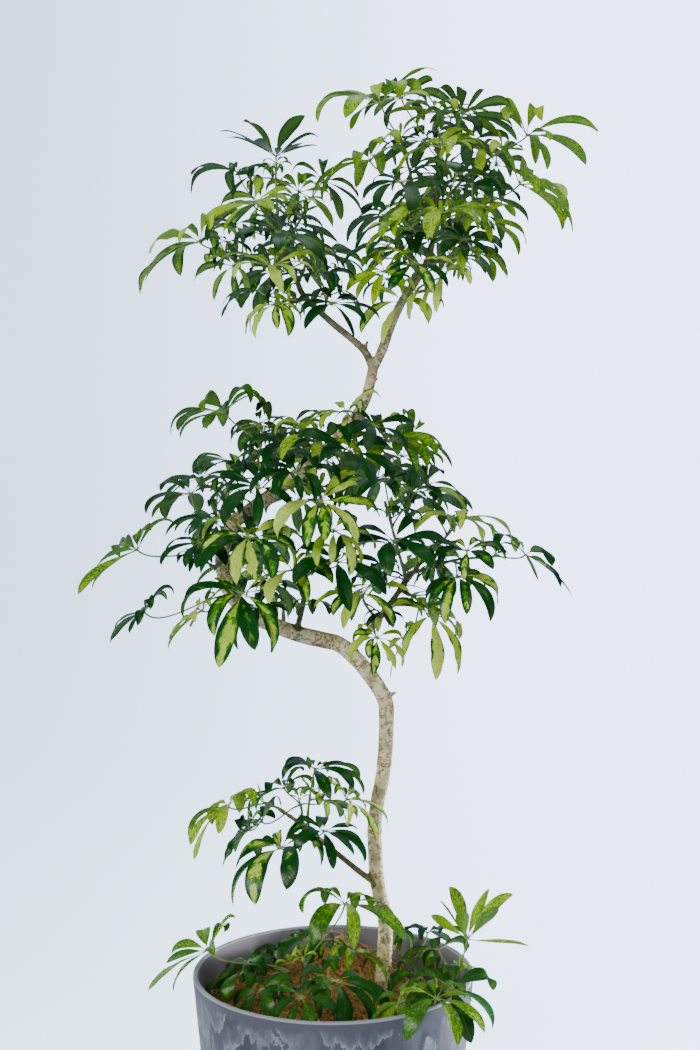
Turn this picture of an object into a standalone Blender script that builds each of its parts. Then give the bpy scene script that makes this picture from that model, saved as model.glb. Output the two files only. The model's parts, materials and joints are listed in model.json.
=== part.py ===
"""A potted ashfolia schefflera: a bent trunk with umbrella leaves, in a round tapered pot.

Metres, +Z up. The origin is the centre of the pot's flat underside, with +X to the right and
+Y to the back as the photograph shows the plant. Wood, green stems and leaf hubs stand at places
read off the photograph: (pixels right, pixels down, metres behind the pot's axis), which
photo_point() turns into metres.
"""

import math
import random

import bmesh
import bpy
from mathutils import Matrix, Vector
from mathutils.bvhtree import BVHTree

# The pot and its filling
POT_HEIGHT = 0.340
POT_RIM_RADIUS = 0.185
POT_FOOT_RADIUS = 0.150
POT_WALL = 0.007
POT_FLOOR = 0.012
POT_SIDES = 32
LIP_ROUNDING = 0.0025
FOOT_ROUNDING = 0.005
SOIL_TOP = 0.246
MULCH_TOP = 0.279
MULCH_SECTORS = 20
MULCH_RINGS = 5
# Each mound of coir: x, y, height over the mulch's top, radius
MULCH_MOUNDS = (
    (-0.110, 0.045, 0.014, 0.055),
    (0.008, 0.142, 0.046, 0.045),
    (0.000, 0.010, 0.012, 0.050),
    (0.125, 0.070, -0.010, 0.050),
    (0.080, -0.110, 0.010, 0.060),
    (-0.070, -0.100, 0.012, 0.060),
)
MULCH_RIPPLE = 0.002
GAP = 0.0003
HOLE_DEPTH = 0.035
TRUNK_HOLE_DEPTH = 0.100
HOLE_ROOM = 0.0012
HOLE_CORNERS = 8

# The camera of the photograph, 700 x 1050 pixels, level and looking along +Y
VIEW_SIDE = 0.022
VIEW_DISTANCE = 1.677
VIEW_HEIGHT = 0.927
VIEW_CENTRE = (350, 525)
VIEW_FOCAL_PIXELS = 1266

# Wood: routes with a radius in metres at each place
WOOD_SPACING = 0.032
WOOD_ROUTES = {
    "trunk": (
        (382, 1003, 0.030, 0.0115), (384, 960, 0.028, 0.0104), (385, 920, 0.025, 0.0100),
        (377, 880, 0.020, 0.0100), (375, 820, 0.012, 0.0098), (382, 780, 0.006, 0.0098),
        (386, 740, 0.000, 0.0100), (384, 698, -0.006, 0.0104), (366, 670, -0.012, 0.0104),
        (342, 646, -0.016, 0.0108), (302, 635, -0.020, 0.0108), (258, 618, -0.026, 0.0100),
        (233, 597, -0.030, 0.0096), (222, 562, -0.030, 0.0094), (230, 528, -0.026, 0.0094),
        (268, 497, -0.014, 0.0092), (311, 463, -0.002, 0.0084), (345, 430, 0.006, 0.0078),
        (365, 400, 0.010, 0.0074), (374, 364, 0.010, 0.0072),
    ),
    "right_bough": (
        (372, 372, 0.010, 0.0064), (383, 348, 0.010, 0.0068), (391, 325, 0.008, 0.0065),
        (403, 300, 0.004, 0.0060), (420, 275, 0.000, 0.0050), (431, 250, 0.000, 0.0042),
        (436, 206, 0.000, 0.0034),
    ),
    "left_bough": (
        (373, 370, 0.010, 0.0056), (366, 353, 0.006, 0.0054), (352, 339, 0.002, 0.0050),
        (330, 321, 0.000, 0.0046), (305, 297, 0.000, 0.0042), (290, 264, 0.000, 0.0036),
        (278, 239, 0.000, 0.0031),
    ),
    "middle_right_bough": (
        (350, 651, -0.014, 0.0050), (374, 625, -0.004, 0.0046), (400, 590, 0.000, 0.0038),
        (418, 566, 0.000, 0.0032),
    ),
    "middle_rising_bough": (
        (296, 634, -0.020, 0.0040), (304, 598, -0.022, 0.0038), (306, 567, -0.022, 0.0034),
        (311, 532, -0.022, 0.0030), (318, 506, -0.022, 0.0028),
    ),
    "lower_bough": (
        (374, 882, 0.020, 0.0044), (360, 872, 0.014, 0.0042), (328, 846, 0.004, 0.0036),
        (298, 822, 0.000, 0.0030), (288, 815, -0.002, 0.0028),
    ),
}
TRUNK_CORNERS = 8
BOUGH_CORNERS = 6
# Small dead snags on the wood: where each starts and ends
SNAGS = (
    ((366, 350, 0.007), (367, 341, 0.001)),
    ((370, 380, 0.010), (378, 379, 0.004)),
    ((384, 699, -0.006), (396, 692, -0.012)),
)
SNAG_RADIUS = 0.0022
COLLAR_LENGTH = 0.006
COLLAR_CORNERS = 4

# Green stems: a route from the wood, then the leaves: hub, blade length, number of blades and,
# where it isn't the usual, how far the blades droop, from 0 for upright to 1 for hanging, and how much
# more steeply than usual they set out
STEM_RADIUS = 0.0026
STEM_TIP_RADIUS = 0.0018
STEM_STRAIGHT = 0.006
SPROUT_STRAIGHT = 0.012
STEM_SPACING = 0.030
STEM_CORNERS = 4
LEAFY_STEMS = {
    "left_crown_leader": (
        ((278, 238, 0.000), (277, 205, -0.005), (276, 180, -0.010)),
        ((276, 156, -0.010, 0.072, 6, 0.2), (253, 204, -0.050, 0.072, 6), (300, 192, 0.040, 0.062, 5)),
    ),
    "left_crown_outer": (
        ((284, 252, 0.000), (255, 256, -0.020), (230, 256, -0.030)),
        ((200, 242, -0.030, 0.092, 6), (246, 224, -0.060, 0.067, 6), (232, 262, 0.020, 0.060, 5)),
    ),
    "left_crown_front": (
        ((290, 263, 0.000), (284, 262, -0.035), (278, 260, -0.060)),
        ((272, 266, -0.095, 0.077, 7, 0.55), (280, 234, -0.090, 0.072, 6)),
    ),
    "left_crown_inner": (
        ((281, 245, 0.000), (294, 230, 0.008), (302, 217, 0.014)),
        ((322, 184, 0.010, 0.067, 6), (308, 241, -0.040, 0.067, 6)),
    ),
    "left_crown_under": (
        ((306, 298, 0.000), (300, 301, -0.022), (292, 303, -0.036)),
        ((281, 311, -0.050, 0.060, 5, 0.9, -0.2), (258, 292, -0.030, 0.060, 5)),
    ),
    "left_crown_elbow": (
        ((322, 313, 0.000), (326, 304, -0.028), (326, 298, -0.040)),
        ((333, 303, -0.070, 0.067, 6), (316, 277, -0.055, 0.062, 6)),
    ),
    "left_crown_back": (
        ((287, 257, 0.000), (280, 240, 0.040), (268, 222, 0.075)),
        ((238, 172, 0.060, 0.074, 6), (262, 202, 0.120, 0.074, 6), (292, 222, 0.120, 0.067, 6)),
    ),
    "left_crown_back_low": (
        ((298, 283, 0.000), (303, 272, 0.040), (306, 262, 0.080)),
        ((326, 254, 0.090, 0.067, 6), (298, 248, 0.135, 0.072, 6), (275, 272, 0.100, 0.067, 5)),
    ),
    "right_crown_leader": (
        ((436, 205, 0.000), (438, 175, 0.000), (440, 150, 0.005)),
        ((439, 147, -0.040, 0.074, 6), (437, 112, 0.000, 0.067, 6, 0.45), (463, 114, 0.010, 0.074, 6, 0.4),
         (412, 96, 0.040, 0.064, 5)),
    ),
    "right_crown_top": (
        ((434, 221, 0.000), (416, 192, -0.004), (402, 142, -0.024)),
        ((381, 104, -0.060, 0.094, 7, 0.6, 0.3),),
    ),
    "right_crown_left": (
        ((433, 228, 0.000), (415, 198, -0.030), (402, 184, -0.040)),
        ((370, 161, -0.045, 0.082, 6), (402, 182, -0.085, 0.072, 6), (386, 219, -0.050, 0.062, 5)),
    ),
    "right_crown_far": (
        ((434, 237, 0.000), (460, 222, -0.015), (476, 212, -0.025)),
        ((519, 191, -0.030, 0.096, 7, 0.6, 0.15), (484, 222, -0.050, 0.077, 6), (472, 184, -0.060, 0.067, 5)),
    ),
    "right_crown_high": (
        ((436, 213, 0.000), (470, 172, 0.010), (500, 152, 0.020)),
        ((527, 135, 0.020, 0.092, 6, 0.6, 0.25), (484, 150, -0.025, 0.067, 5), (496, 166, 0.065, 0.067, 5)),
    ),
    "right_crown_front": (
        ((433, 247, 0.000), (437, 232, -0.040), (440, 222, -0.065)),
        ((440, 213, -0.105, 0.084, 7), (457, 176, -0.080, 0.067, 6), (415, 232, -0.090, 0.067, 5)),
    ),
    "right_crown_low_left": (
        ((424, 268, 0.000), (408, 258, -0.030), (400, 250, -0.045)),
        ((391, 244, -0.075, 0.067, 6), (414, 262, -0.100, 0.060, 5), (385, 272, -0.070, 0.060, 5, 0.7)),
    ),
    "right_crown_fork": (
        ((413, 286, 0.002), (412, 291, -0.022), (411, 293, -0.030)),
        ((410, 296, -0.050, 0.067, 7, 0.85, -0.1),),
    ),
    "right_crown_low": (
        ((428, 262, 0.000), (448, 262, -0.020), (458, 259, -0.030)),
        ((442, 281, -0.055, 0.067, 6, 0.85), (474, 254, -0.050, 0.060, 5, 0.8), (464, 240, -0.080, 0.060, 5)),
    ),
    "right_crown_back_high": (
        ((436, 209, 0.000), (440, 185, 0.050), (446, 168, 0.085)),
        ((425, 140, 0.095, 0.072, 6), (466, 142, 0.110, 0.072, 6), (452, 118, 0.080, 0.067, 5)),
    ),
    "right_crown_back": (
        ((434, 232, 0.000), (446, 216, 0.050), (455, 206, 0.090)),
        ((484, 196, 0.105, 0.072, 6), (450, 186, 0.145, 0.072, 6)),
    ),
    "right_crown_back_low": (
        ((429, 257, 0.000), (420, 242, 0.050), (410, 232, 0.090)),
        ((388, 214, 0.100, 0.072, 6), (420, 206, 0.145, 0.072, 6), (400, 250, 0.100, 0.067, 5)),
    ),
    "right_crown_back_under": (
        ((426, 264, 0.000), (438, 262, 0.050), (448, 256, 0.085)),
        ((468, 246, 0.100, 0.067, 6), (437, 240, 0.145, 0.067, 5)),
    ),
    "middle_left_high": (
        ((258, 504, -0.018), (257, 470, -0.022), (262, 438, -0.022)),
        ((225, 412, -0.025, 0.090, 6, 0.6, 0.15), (243, 472, -0.055, 0.067, 6), (274, 430, 0.035, 0.067, 5)),
    ),
    "middle_left_arm": (
        ((223, 572, -0.030), (212, 566, -0.034), (198, 556, -0.036)),
        ((137, 549, -0.035, 0.084, 5, 0.45), (193, 496, -0.030, 0.067, 6), (205, 540, -0.075, 0.062, 5)),
    ),
    "middle_left_under": (
        ((236, 600, -0.030), (230, 594, -0.060), (228, 588, -0.075)),
        ((143, 610, -0.040, 0.060, 5, 0.6), (210, 615, -0.080, 0.060, 5, 0.6),
         (241, 592, -0.110, 0.093, 5, 0.9, -0.2)),
    ),
    "middle_left_front": (
        ((226, 541, -0.028), (236, 540, -0.060), (242, 540, -0.076)),
        ((249, 537, -0.108, 0.079, 7, 0.85), (220, 518, -0.080, 0.067, 5)),
    ),
    "middle_centre_left": (
        ((284, 485, -0.008), (281, 478, -0.040), (277, 472, -0.060)),
        ((258, 488, -0.090, 0.067, 6), (287, 452, -0.078, 0.072, 6)),
    ),
    "middle_centre_top": (
        ((311, 463, -0.002), (313, 455, -0.030), (312, 448, -0.045)),
        ((317, 438, -0.068, 0.077, 6), (294, 424, 0.000, 0.062, 5)),
    ),
    "middle_trunk_top": (
        ((350, 424, 0.008), (356, 424, -0.020), (361, 425, -0.034)),
        ((347, 412, -0.050, 0.060, 5, 0.55), (371, 430, -0.065, 0.062, 5), (342, 456, -0.085, 0.072, 6)),
    ),
    "middle_rising_tip": (
        ((318, 506, -0.022), (320, 497, -0.050), (320, 492, -0.070)),
        ((320, 501, -0.118, 0.077, 7), (300, 476, -0.105, 0.067, 6), (336, 536, -0.105, 0.064, 5, 0.85)),
    ),
    "middle_rising_side": (
        ((306, 576, -0.022), (312, 572, -0.050), (316, 570, -0.066)),
        ((292, 570, -0.100, 0.067, 6), (338, 562, -0.108, 0.077, 6)),
    ),
    "middle_thin": (
        ((284, 629, -0.022), (283, 607, -0.040), (279, 588, -0.048)),
        ((270, 564, -0.052, 0.067, 6), (258, 602, -0.070, 0.062, 5, 0.9, -0.2)),
    ),
    "middle_trunk_right": (
        ((356, 416, 0.009), (374, 424, 0.012), (387, 440, 0.008)),
        ((391, 441, -0.030, 0.077, 6), (412, 434, 0.030, 0.067, 6)),
    ),
    "middle_right_centre": (
        ((407, 581, 0.000), (398, 550, -0.030), (390, 520, -0.045)),
        ((393, 540, -0.088, 0.072, 6), (385, 482, -0.062, 0.077, 6), (413, 492, -0.030, 0.072, 6)),
    ),
    "middle_right_upper": (
        ((418, 566, 0.000), (438, 546, -0.008), (450, 532, -0.012)),
        ((454, 518, -0.020, 0.084, 6), (430, 500, 0.030, 0.067, 5)),
    ),
    "middle_right_far": (
        ((413, 573, 0.000), (455, 560, -0.026), (490, 557, -0.032)),
        ((526, 555, -0.035, 0.074, 5, 0.6), (466, 550, -0.060, 0.062, 5),
         (458, 578, -0.060, 0.074, 6, 0.85, -0.1)),
    ),
    "middle_right_low": (
        ((400, 590, 0.000), (414, 597, -0.018), (423, 605, -0.024)),
        ((431, 616, -0.048, 0.079, 6, 0.9, -0.2), (404, 636, -0.020, 0.060, 5, 0.9, -0.2)),
    ),
    "middle_right_inner": (
        ((378, 620, -0.003), (370, 611, -0.034), (365, 604, -0.048)),
        ((361, 592, -0.080, 0.067, 6), (376, 636, -0.060, 0.056, 5, 0.9, -0.2)),
    ),
    "middle_back_left": (
        ((240, 519, -0.022), (226, 504, 0.040), (216, 492, 0.080)),
        ((200, 478, 0.090, 0.072, 6), (234, 460, 0.120, 0.072, 6), (215, 522, 0.130, 0.067, 5)),
    ),
    "middle_back_centre": (
        ((294, 477, -0.006), (301, 466, 0.050), (306, 456, 0.085)),
        ((282, 446, 0.120, 0.072, 6), (322, 466, 0.145, 0.072, 6), (300, 500, 0.140, 0.067, 5)),
    ),
    "middle_back_right": (
        ((359, 411, 0.010), (376, 440, 0.055), (388, 458, 0.085)),
        ((402, 456, 0.110, 0.072, 6), (372, 478, 0.150, 0.072, 6), (428, 484, 0.100, 0.072, 6)),
    ),
    "middle_back_low_left": (
        ((230, 590, -0.030), (246, 580, 0.030), (256, 572, 0.070)),
        ((238, 560, 0.110, 0.072, 6), (272, 585, 0.110, 0.067, 5), (262, 536, 0.140, 0.072, 6)),
    ),
    "middle_back_low_right": (
        ((394, 598, -0.002), (404, 580, 0.045), (410, 572, 0.080)),
        ((434, 562, 0.115, 0.072, 6), (396, 546, 0.140, 0.072, 6), (372, 585, 0.110, 0.067, 5)),
    ),
    "lower_rising": (
        ((308, 830, 0.001), (308, 812, -0.016), (310, 796, -0.024)),
        ((315, 769, -0.028, 0.067, 6), (347, 799, -0.030, 0.067, 6)),
    ),
    "lower_outer": (
        ((288, 815, -0.002), (278, 808, -0.010), (266, 803, -0.016)),
        ((228, 806, -0.030, 0.079, 6, 0.85), (250, 830, -0.010, 0.060, 5)),
    ),
    "lower_front": (
        ((322, 841, 0.003), (314, 838, -0.030), (306, 840, -0.042)),
        ((324, 831, -0.065, 0.062, 6), (281, 848, -0.070, 0.084, 7, 0.85)),
    ),
    "lower_back": (
        ((300, 824, 0.000), (302, 812, 0.040), (300, 803, 0.065)),
        ((284, 788, 0.080, 0.067, 6), (322, 800, 0.095, 0.062, 6), (262, 822, 0.070, 0.062, 5)),
    ),
}
# Sprouts round the trunk's foot, rooted in the soil: the route starts at the mulch
SPROUTS = {
    "sprout_left": (
        ((292, 1003, 0.020), (292, 985, 0.014), (290, 968, 0.004)),
        ((208, 950, -0.020, 0.077, 6, 0.35), (248, 962, 0.030, 0.066, 6, 0.8),
         (262, 990, -0.050, 0.058, 5, 0.85), (238, 980, -0.010, 0.056, 5, 0.8)),
    ),
    "sprout_centre": (
        ((314, 1003, 0.018), (308, 982, 0.004), (304, 962, -0.006)),
        ((345, 904, -0.045, 0.082, 7, 0.75), (324, 976, -0.050, 0.079, 6, 0.9),
         (348, 952, 0.020, 0.062, 5, 0.8), (300, 1000, -0.095, 0.058, 5, 0.85)),
    ),
    "sprout_back": (
        ((322, 988, 0.080), (318, 972, 0.078), (314, 960, 0.076)),
        ((308, 940, 0.060, 0.062, 6, 0.8), (278, 950, 0.095, 0.062, 5, 0.8)),
    ),
    "sprout_right": (
        ((447, 1010, 0.000), (453, 992, 0.000), (459, 975, -0.004)),
        ((467, 939, -0.010, 0.077, 6, 0.0), (436, 960, 0.040, 0.060, 5)),
    ),
    "sprout_right_front": (
        ((424, 1025, -0.050), (430, 1008, -0.062), (437, 998, -0.074)),
        ((447, 1008, -0.140, 0.067, 6, 0.8), (457, 986, -0.105, 0.074, 6, 0.7),
         (403, 1000, -0.100, 0.062, 5, 0.8)),
    ),
    "sprout_right_back": (
        ((414, 985, 0.075), (413, 972, 0.070), (412, 964, 0.062)),
        ((400, 952, 0.050, 0.062, 5, 0.8), (430, 946, 0.085, 0.062, 5), (420, 976, 0.020, 0.062, 6, 0.8)),
    ),
}

# One umbrella leaf
HUB_RADIUS = 0.0030
HUB_HEIGHT = 0.0022
HUB_NECK = 0.0045
PETIOLE_RADIUS = 0.0011
PETIOLE_FOOT_RADIUS = 0.0013
PETIOLE_SHORT = 0.035
PETIOLE_LONG = 0.080
BLADE_STEPS = 12
BLADE_WIDEST_STEP = 7
BLADE_WIDTHS = (0.22, 0.29)
KITE_SWELL = 1.15
BLADE_KEEL = 0.0017
BLADE_RISES = (0.20, 0.55)
# How far a blade bends down to its tip, and how much steeper than the rises it sets out, where unstated
USUAL_BEND = (0.62, 0.0)
DROOP_SPREAD = 0.12
UPRIGHT_DROOP = 0.35
UPRIGHT_RISE = 1.6
BLADE_TWIST = 0.35
# How far a leaf faces up, along its stalk and outward, and how far its axis wanders
FACES_UP = 0.80
FACES_STALK = 0.40
FACES_OUT = 0.15
AXIS_STRAY = 0.12
LATER_AXIS_STRAY = 0.30
UNEVEN_TURN = 0.15
LONGER_OUTSIDE = 0.14
LENGTH_SPREAD = 0.10
# The stalk's curve: how steeply and how far it sets out, and how far below the hub it turns in
STALK_SETS_OUT = 0.35
STALK_LIFT = 0.30
STALK_TURNS_IN = 0.30
STALK_FROM_BELOW = 0.6
UNDERSIDE_TAPER = 0.9
# Tries for each leaf, each looser than the last, and the room it keeps from other pieces and its own blades
ATTEMPTS = 60
STRICT_ATTEMPTS = 30
FEWEST_BLADES = 3
HUB_STRAY = 0.018
CLEARANCE = 0.0005
OWN_CLEARANCE = 0.0003
TUBE_CORNERS = 8
CORE = -1
UP = Vector((0, 0, 1))


def photo_point(right, down, behind):
    """The place in metres that the photograph shows at a pixel, given its distance behind the pot's axis."""
    reach = (VIEW_DISTANCE + behind) / VIEW_FOCAL_PIXELS
    return Vector((
        VIEW_SIDE + (right - VIEW_CENTRE[0]) * reach,
        behind,
        VIEW_HEIGHT - (down - VIEW_CENTRE[1]) * reach,
    ))


def with_radius(point, radius):
    return Vector((*point, radius))


def smooth_line(knots, spacing):
    """Places with radii, about spacing apart, on the smooth curve through the knots."""
    ends = [2 * knots[0] - knots[1], *knots, 2 * knots[-1] - knots[-2]]
    line = []
    for before, start, end, after in zip(ends, ends[1:], ends[2:], ends[3:]):
        steps = max(1, round((end.xyz - start.xyz).length / spacing))
        for step in range(steps):
            t = step / steps
            line.append(start + 0.5 * t * (
                (end - before)
                + t * (2 * before - 5 * start + 4 * end - after)
                + t * t * (3 * (start - end) + after - before)
            ))
    return [*line, knots[-1]]


def nearest_on(lines, point):
    """The nearest place, with its radius, to a point on any of the lines."""
    best = None
    for line in lines:
        for start, end in zip(line, line[1:]):
            along = end.xyz - start.xyz
            share = (point - start.xyz).dot(along) / along.length_squared
            place = start.lerp(end, min(1, max(0, share)))
            if best is None or (place.xyz - point).length < (best.xyz - point).length:
                best = place
    return best


def scatter(draw, size):
    return Vector([draw.uniform(-size, size) for _ in range(3)])


def wall_radius(height):
    """The pot's inner radius at a height."""
    slope = (POT_RIM_RADIUS - POT_FOOT_RADIUS) / POT_HEIGHT
    return POT_FOOT_RADIUS + slope * height - POT_WALL


def pot_profile():
    rim, foot, lip = POT_RIM_RADIUS, POT_FOOT_RADIUS, LIP_ROUNDING
    inner_rim = rim - POT_WALL
    return [
        (0, POT_FLOOR),
        (wall_radius(POT_FLOOR), POT_FLOOR),
        (inner_rim, POT_HEIGHT - lip),
        (inner_rim + lip, POT_HEIGHT),
        (rim - lip, POT_HEIGHT),
        (rim, POT_HEIGHT - lip),
        (foot, FOOT_ROUNDING),
        (foot - FOOT_ROUNDING, 0),
        (0, 0),
    ]


def mulch_rings():
    outer = wall_radius(SOIL_TOP + GAP) - 2 * GAP
    return [(outer * ring / MULCH_RINGS, MULCH_TOP) for ring in range(MULCH_RINGS + 1)]


def mulch_height(x, y):
    """The coir's surface: low mounds on a nearly level bed."""
    height = MULCH_TOP
    for mound_x, mound_y, rise, radius in MULCH_MOUNDS:
        height += rise * math.exp(-((x - mound_x) ** 2 + (y - mound_y) ** 2) / radius**2)
    return height + MULCH_RIPPLE * math.sin(61 * x + 3) * math.cos(47 * y)


# Growing: where every limb, stem and leaf lies, with nothing crossing another stem


def wood_lines():
    return {
        name: smooth_line([with_radius(photo_point(*place[:3]), place[3]) for place in route], WOOD_SPACING)
        for name, route in WOOD_ROUTES.items()
    }


def snag_lines():
    return [[with_radius(photo_point(*place), SNAG_RADIUS) for place in snag] for snag in SNAGS]


def stem_seat(route, lines):
    """The collar's line on the wood, and the stem's own line, which starts a gap beyond the collar."""
    seat = nearest_on(lines, photo_point(*route[0]))
    heading = (photo_point(*route[1]) - seat.xyz).normalized()
    collar_end = seat.xyz + heading * (seat.w + COLLAR_LENGTH)
    collar = [with_radius(seat.xyz, STEM_RADIUS), with_radius(collar_end, STEM_RADIUS)]
    foot = collar_end + heading * GAP
    knots = [with_radius(foot + heading * STEM_STRAIGHT, STEM_RADIUS)]
    knots += [with_radius(photo_point(*place), STEM_TIP_RADIUS) for place in route[1:]]
    return collar, [with_radius(foot, STEM_RADIUS), *smooth_line(knots, STEM_SPACING)]


def sprout_line(route):
    """A sprout's line, from the bottom of its hole in the soil."""
    top = photo_point(*route[0])
    foot = Vector((top.x, top.y, SOIL_TOP - HOLE_DEPTH + GAP))
    knots = [with_radius(Vector((top.x, top.y, MULCH_TOP + SPROUT_STRAIGHT)), STEM_RADIUS)]
    knots += [with_radius(photo_point(*place), STEM_TIP_RADIUS) for place in route[1:]]
    return [with_radius(foot, STEM_RADIUS), *smooth_line(knots, STEM_SPACING)]


def petiole_foot(line, hub):
    """Where a leaf's stalk leaves its stem: near the hub, and rather below it."""
    def cost(place):
        span = hub - place.xyz
        return span.length + STALK_FROM_BELOW * max(0.0, -span.z)

    places = [start.lerp(end, share / 4) for start, end in zip(line[1:], line[2:]) for share in range(4)]
    return min(places, key=cost).xyz


def curved_stalk(foot, hub, axis):
    """Points of a leaf stalk that leaves its stem outward and upward and comes in under the hub."""
    span = hub - foot
    leave = foot + span.normalized().lerp(UP, STALK_LIFT) * span.length * STALK_SETS_OUT
    arrive = hub - axis * span.length * STALK_TURNS_IN
    parts = 1 + (span.length > PETIOLE_SHORT) + (span.length > PETIOLE_LONG)
    points = []
    for part in range(parts):
        t = part / parts
        s = 1 - t
        points.append(foot * s**3 + leave * 3 * s * s * t + arrive * 3 * s * t * t + hub * t**3)
    return points + [hub - axis * HUB_NECK]


def blade_line(root, heading, length, droop):
    """The centre line of a blade that sets out along its heading and bends down under its weight."""
    points = [root]
    for step in range(BLADE_STEPS):
        pull = droop * (step + 0.5) / BLADE_STEPS
        now = (heading * (1 - pull) - UP * pull).normalized()
        points.append(points[-1] + now * length / BLADE_STEPS)
    return points


def plan_leaf(line, place, draw, stray):
    """One umbrella leaf: its hub, axis and stalk, and each blade's heading, size and droop."""
    hub = photo_point(*place[:3]) + scatter(draw, HUB_STRAY * stray)
    foot = petiole_foot(line, hub)
    span = (hub - foot).normalized()
    outward = Vector((span.x, span.y, 0.001)).normalized()
    wander = scatter(draw, AXIS_STRAY + LATER_AXIS_STRAY * stray)
    axis = (UP * FACES_UP + span * FACES_STALK + outward * FACES_OUT + wander).normalized()
    across = axis.orthogonal().normalized()
    turn = draw.uniform(0, math.tau)
    droop, lift = (*place[5:], *USUAL_BEND[len(place) - 5:])
    blades = []
    for number in range(place[4]):
        azimuth = turn + math.tau * (number + draw.uniform(-UNEVEN_TURN, UNEVEN_TURN)) / place[4]
        radial = Matrix.Rotation(azimuth, 3, axis) @ across
        rise = draw.uniform(*BLADE_RISES) + lift + UPRIGHT_RISE * max(0, UPRIGHT_DROOP - droop)
        heading = radial * math.cos(rise) + axis * math.sin(rise)
        side = Matrix.Rotation(draw.uniform(-BLADE_TWIST, BLADE_TWIST), 3, heading) @ heading.cross(axis)
        spread = draw.uniform(-LENGTH_SPREAD, LENGTH_SPREAD)
        length = place[3] * (1 + LONGER_OUTSIDE * radial.dot(outward) + spread)
        blades.append({
            "azimuth": azimuth, "radial": radial, "heading": heading, "side": side.normalized(),
            "length": length, "droop": droop + draw.uniform(-DROOP_SPREAD, DROOP_SPREAD),
            "width": length * draw.uniform(*BLADE_WIDTHS),
        })
    return {"hub": hub, "axis": axis, "stalk": curved_stalk(foot, hub, axis), "blades": blades}


def leaf_shell(leaf, swell):
    """The leaf's corner points, and the faces of its core and of each blade, swollen by a clearance."""
    hub, axis, blades = leaf["hub"], leaf["axis"], leaf["blades"]
    count = len(blades)
    azimuths = [blade["azimuth"] for blade in blades]
    halfway = [
        (azimuths[i - 1] - (math.tau if i == 0 else 0) + azimuths[i]) / 2 for i in range(count)
    ]
    across = axis.orthogonal().normalized()
    radius = HUB_RADIUS + swell
    points = [hub + (Matrix.Rotation(angle, 3, axis) @ across) * radius for angle in halfway]
    points += [hub + blade["radial"] * radius * UNDERSIDE_TAPER - axis * HUB_HEIGHT for blade in blades]
    core = [tuple(range(count))]
    core += [((i + 1) % count, count + (i + 1) % count, count + i) for i in range(count)]

    frame = [blades[i * count // 3]["radial"] for i in range(3)]
    ways = [axis]
    stalk = list(reversed(leaf["stalk"]))
    ways += [(a - b).normalized() for a, b in zip(stalk, stalk[1:])]
    rings = []
    for number, (point, way) in enumerate(zip(stalk, ways)):
        turn = ways[max(0, number - 1)].rotation_difference(way)
        frame = [turn @ spoke for spoke in frame]
        thick = PETIOLE_RADIUS + (PETIOLE_FOOT_RADIUS - PETIOLE_RADIUS) * number / len(stalk) + swell
        rings.append([len(points) + k for k in range(3)])
        points += [point + (spoke - way * spoke.dot(way)).normalized() * thick for spoke in frame]
    for i in range(count):
        low, high = i * 3 // count, (i + 1) * 3 // count
        core.append((count + i, count + (i + 1) % count, rings[0][low % 3]))
        if high != low:
            core.append((count + (i + 1) % count, rings[0][high % 3], rings[0][low % 3]))
    for upper, lower in zip(rings, rings[1:]):
        core += [(upper[k], upper[(k + 1) % 3], lower[(k + 1) % 3]) for k in range(3)]
        core += [(upper[k], lower[(k + 1) % 3], lower[k]) for k in range(3)]
    core.append(tuple(reversed(rings[-1])))

    faces = []
    for i, blade in enumerate(blades):
        line = blade_line(hub + blade["radial"] * radius, blade["heading"], blade["length"], blade["droop"])
        middle, tip = line[BLADE_WIDEST_STEP], line[-1]
        way = (line[BLADE_WIDEST_STEP + 1] - line[BLADE_WIDEST_STEP - 1]).normalized()
        side = (blade["side"] - way * blade["side"].dot(way)).normalized()
        below = way.cross(side)
        root = (i, (i + 1) % count, count + i)
        left, right, keel, end = range(len(points), len(points) + 4)
        half = blade["width"] * KITE_SWELL / 2 + swell
        if side.dot(points[root[0]] - points[root[1]]) < 0:
            side = -side
        points += [
            middle + side * half - below * swell,
            middle - side * half - below * swell,
            middle + below * (BLADE_KEEL + swell),
            tip,
        ]
        faces.append([
            (root[0], root[1], right), (root[0], right, left), (root[1], root[2], right),
            (root[2], keel, right), (root[2], root[0], left), (root[2], left, keel),
            (left, right, end), (right, keel, end), (keel, left, end),
        ])
    return points, core, faces


def boxes_meet(one, other):
    return all(one[0][i] <= other[1][i] and other[0][i] <= one[1][i] for i in range(3))


def shape_of(points, faces, owner, is_blade=False):
    """A search tree and a box round some faces, with the name of the piece that owns them."""
    used = [points[i] for face in faces for i in face]
    low = [min(point[i] for point in used) for i in range(3)]
    high = [max(point[i] for point in used) for i in range(3)]
    tree = BVHTree.FromPolygons(points, faces)
    return {"tree": tree, "box": (low, high), "owner": owner, "is_blade": is_blade}


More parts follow.
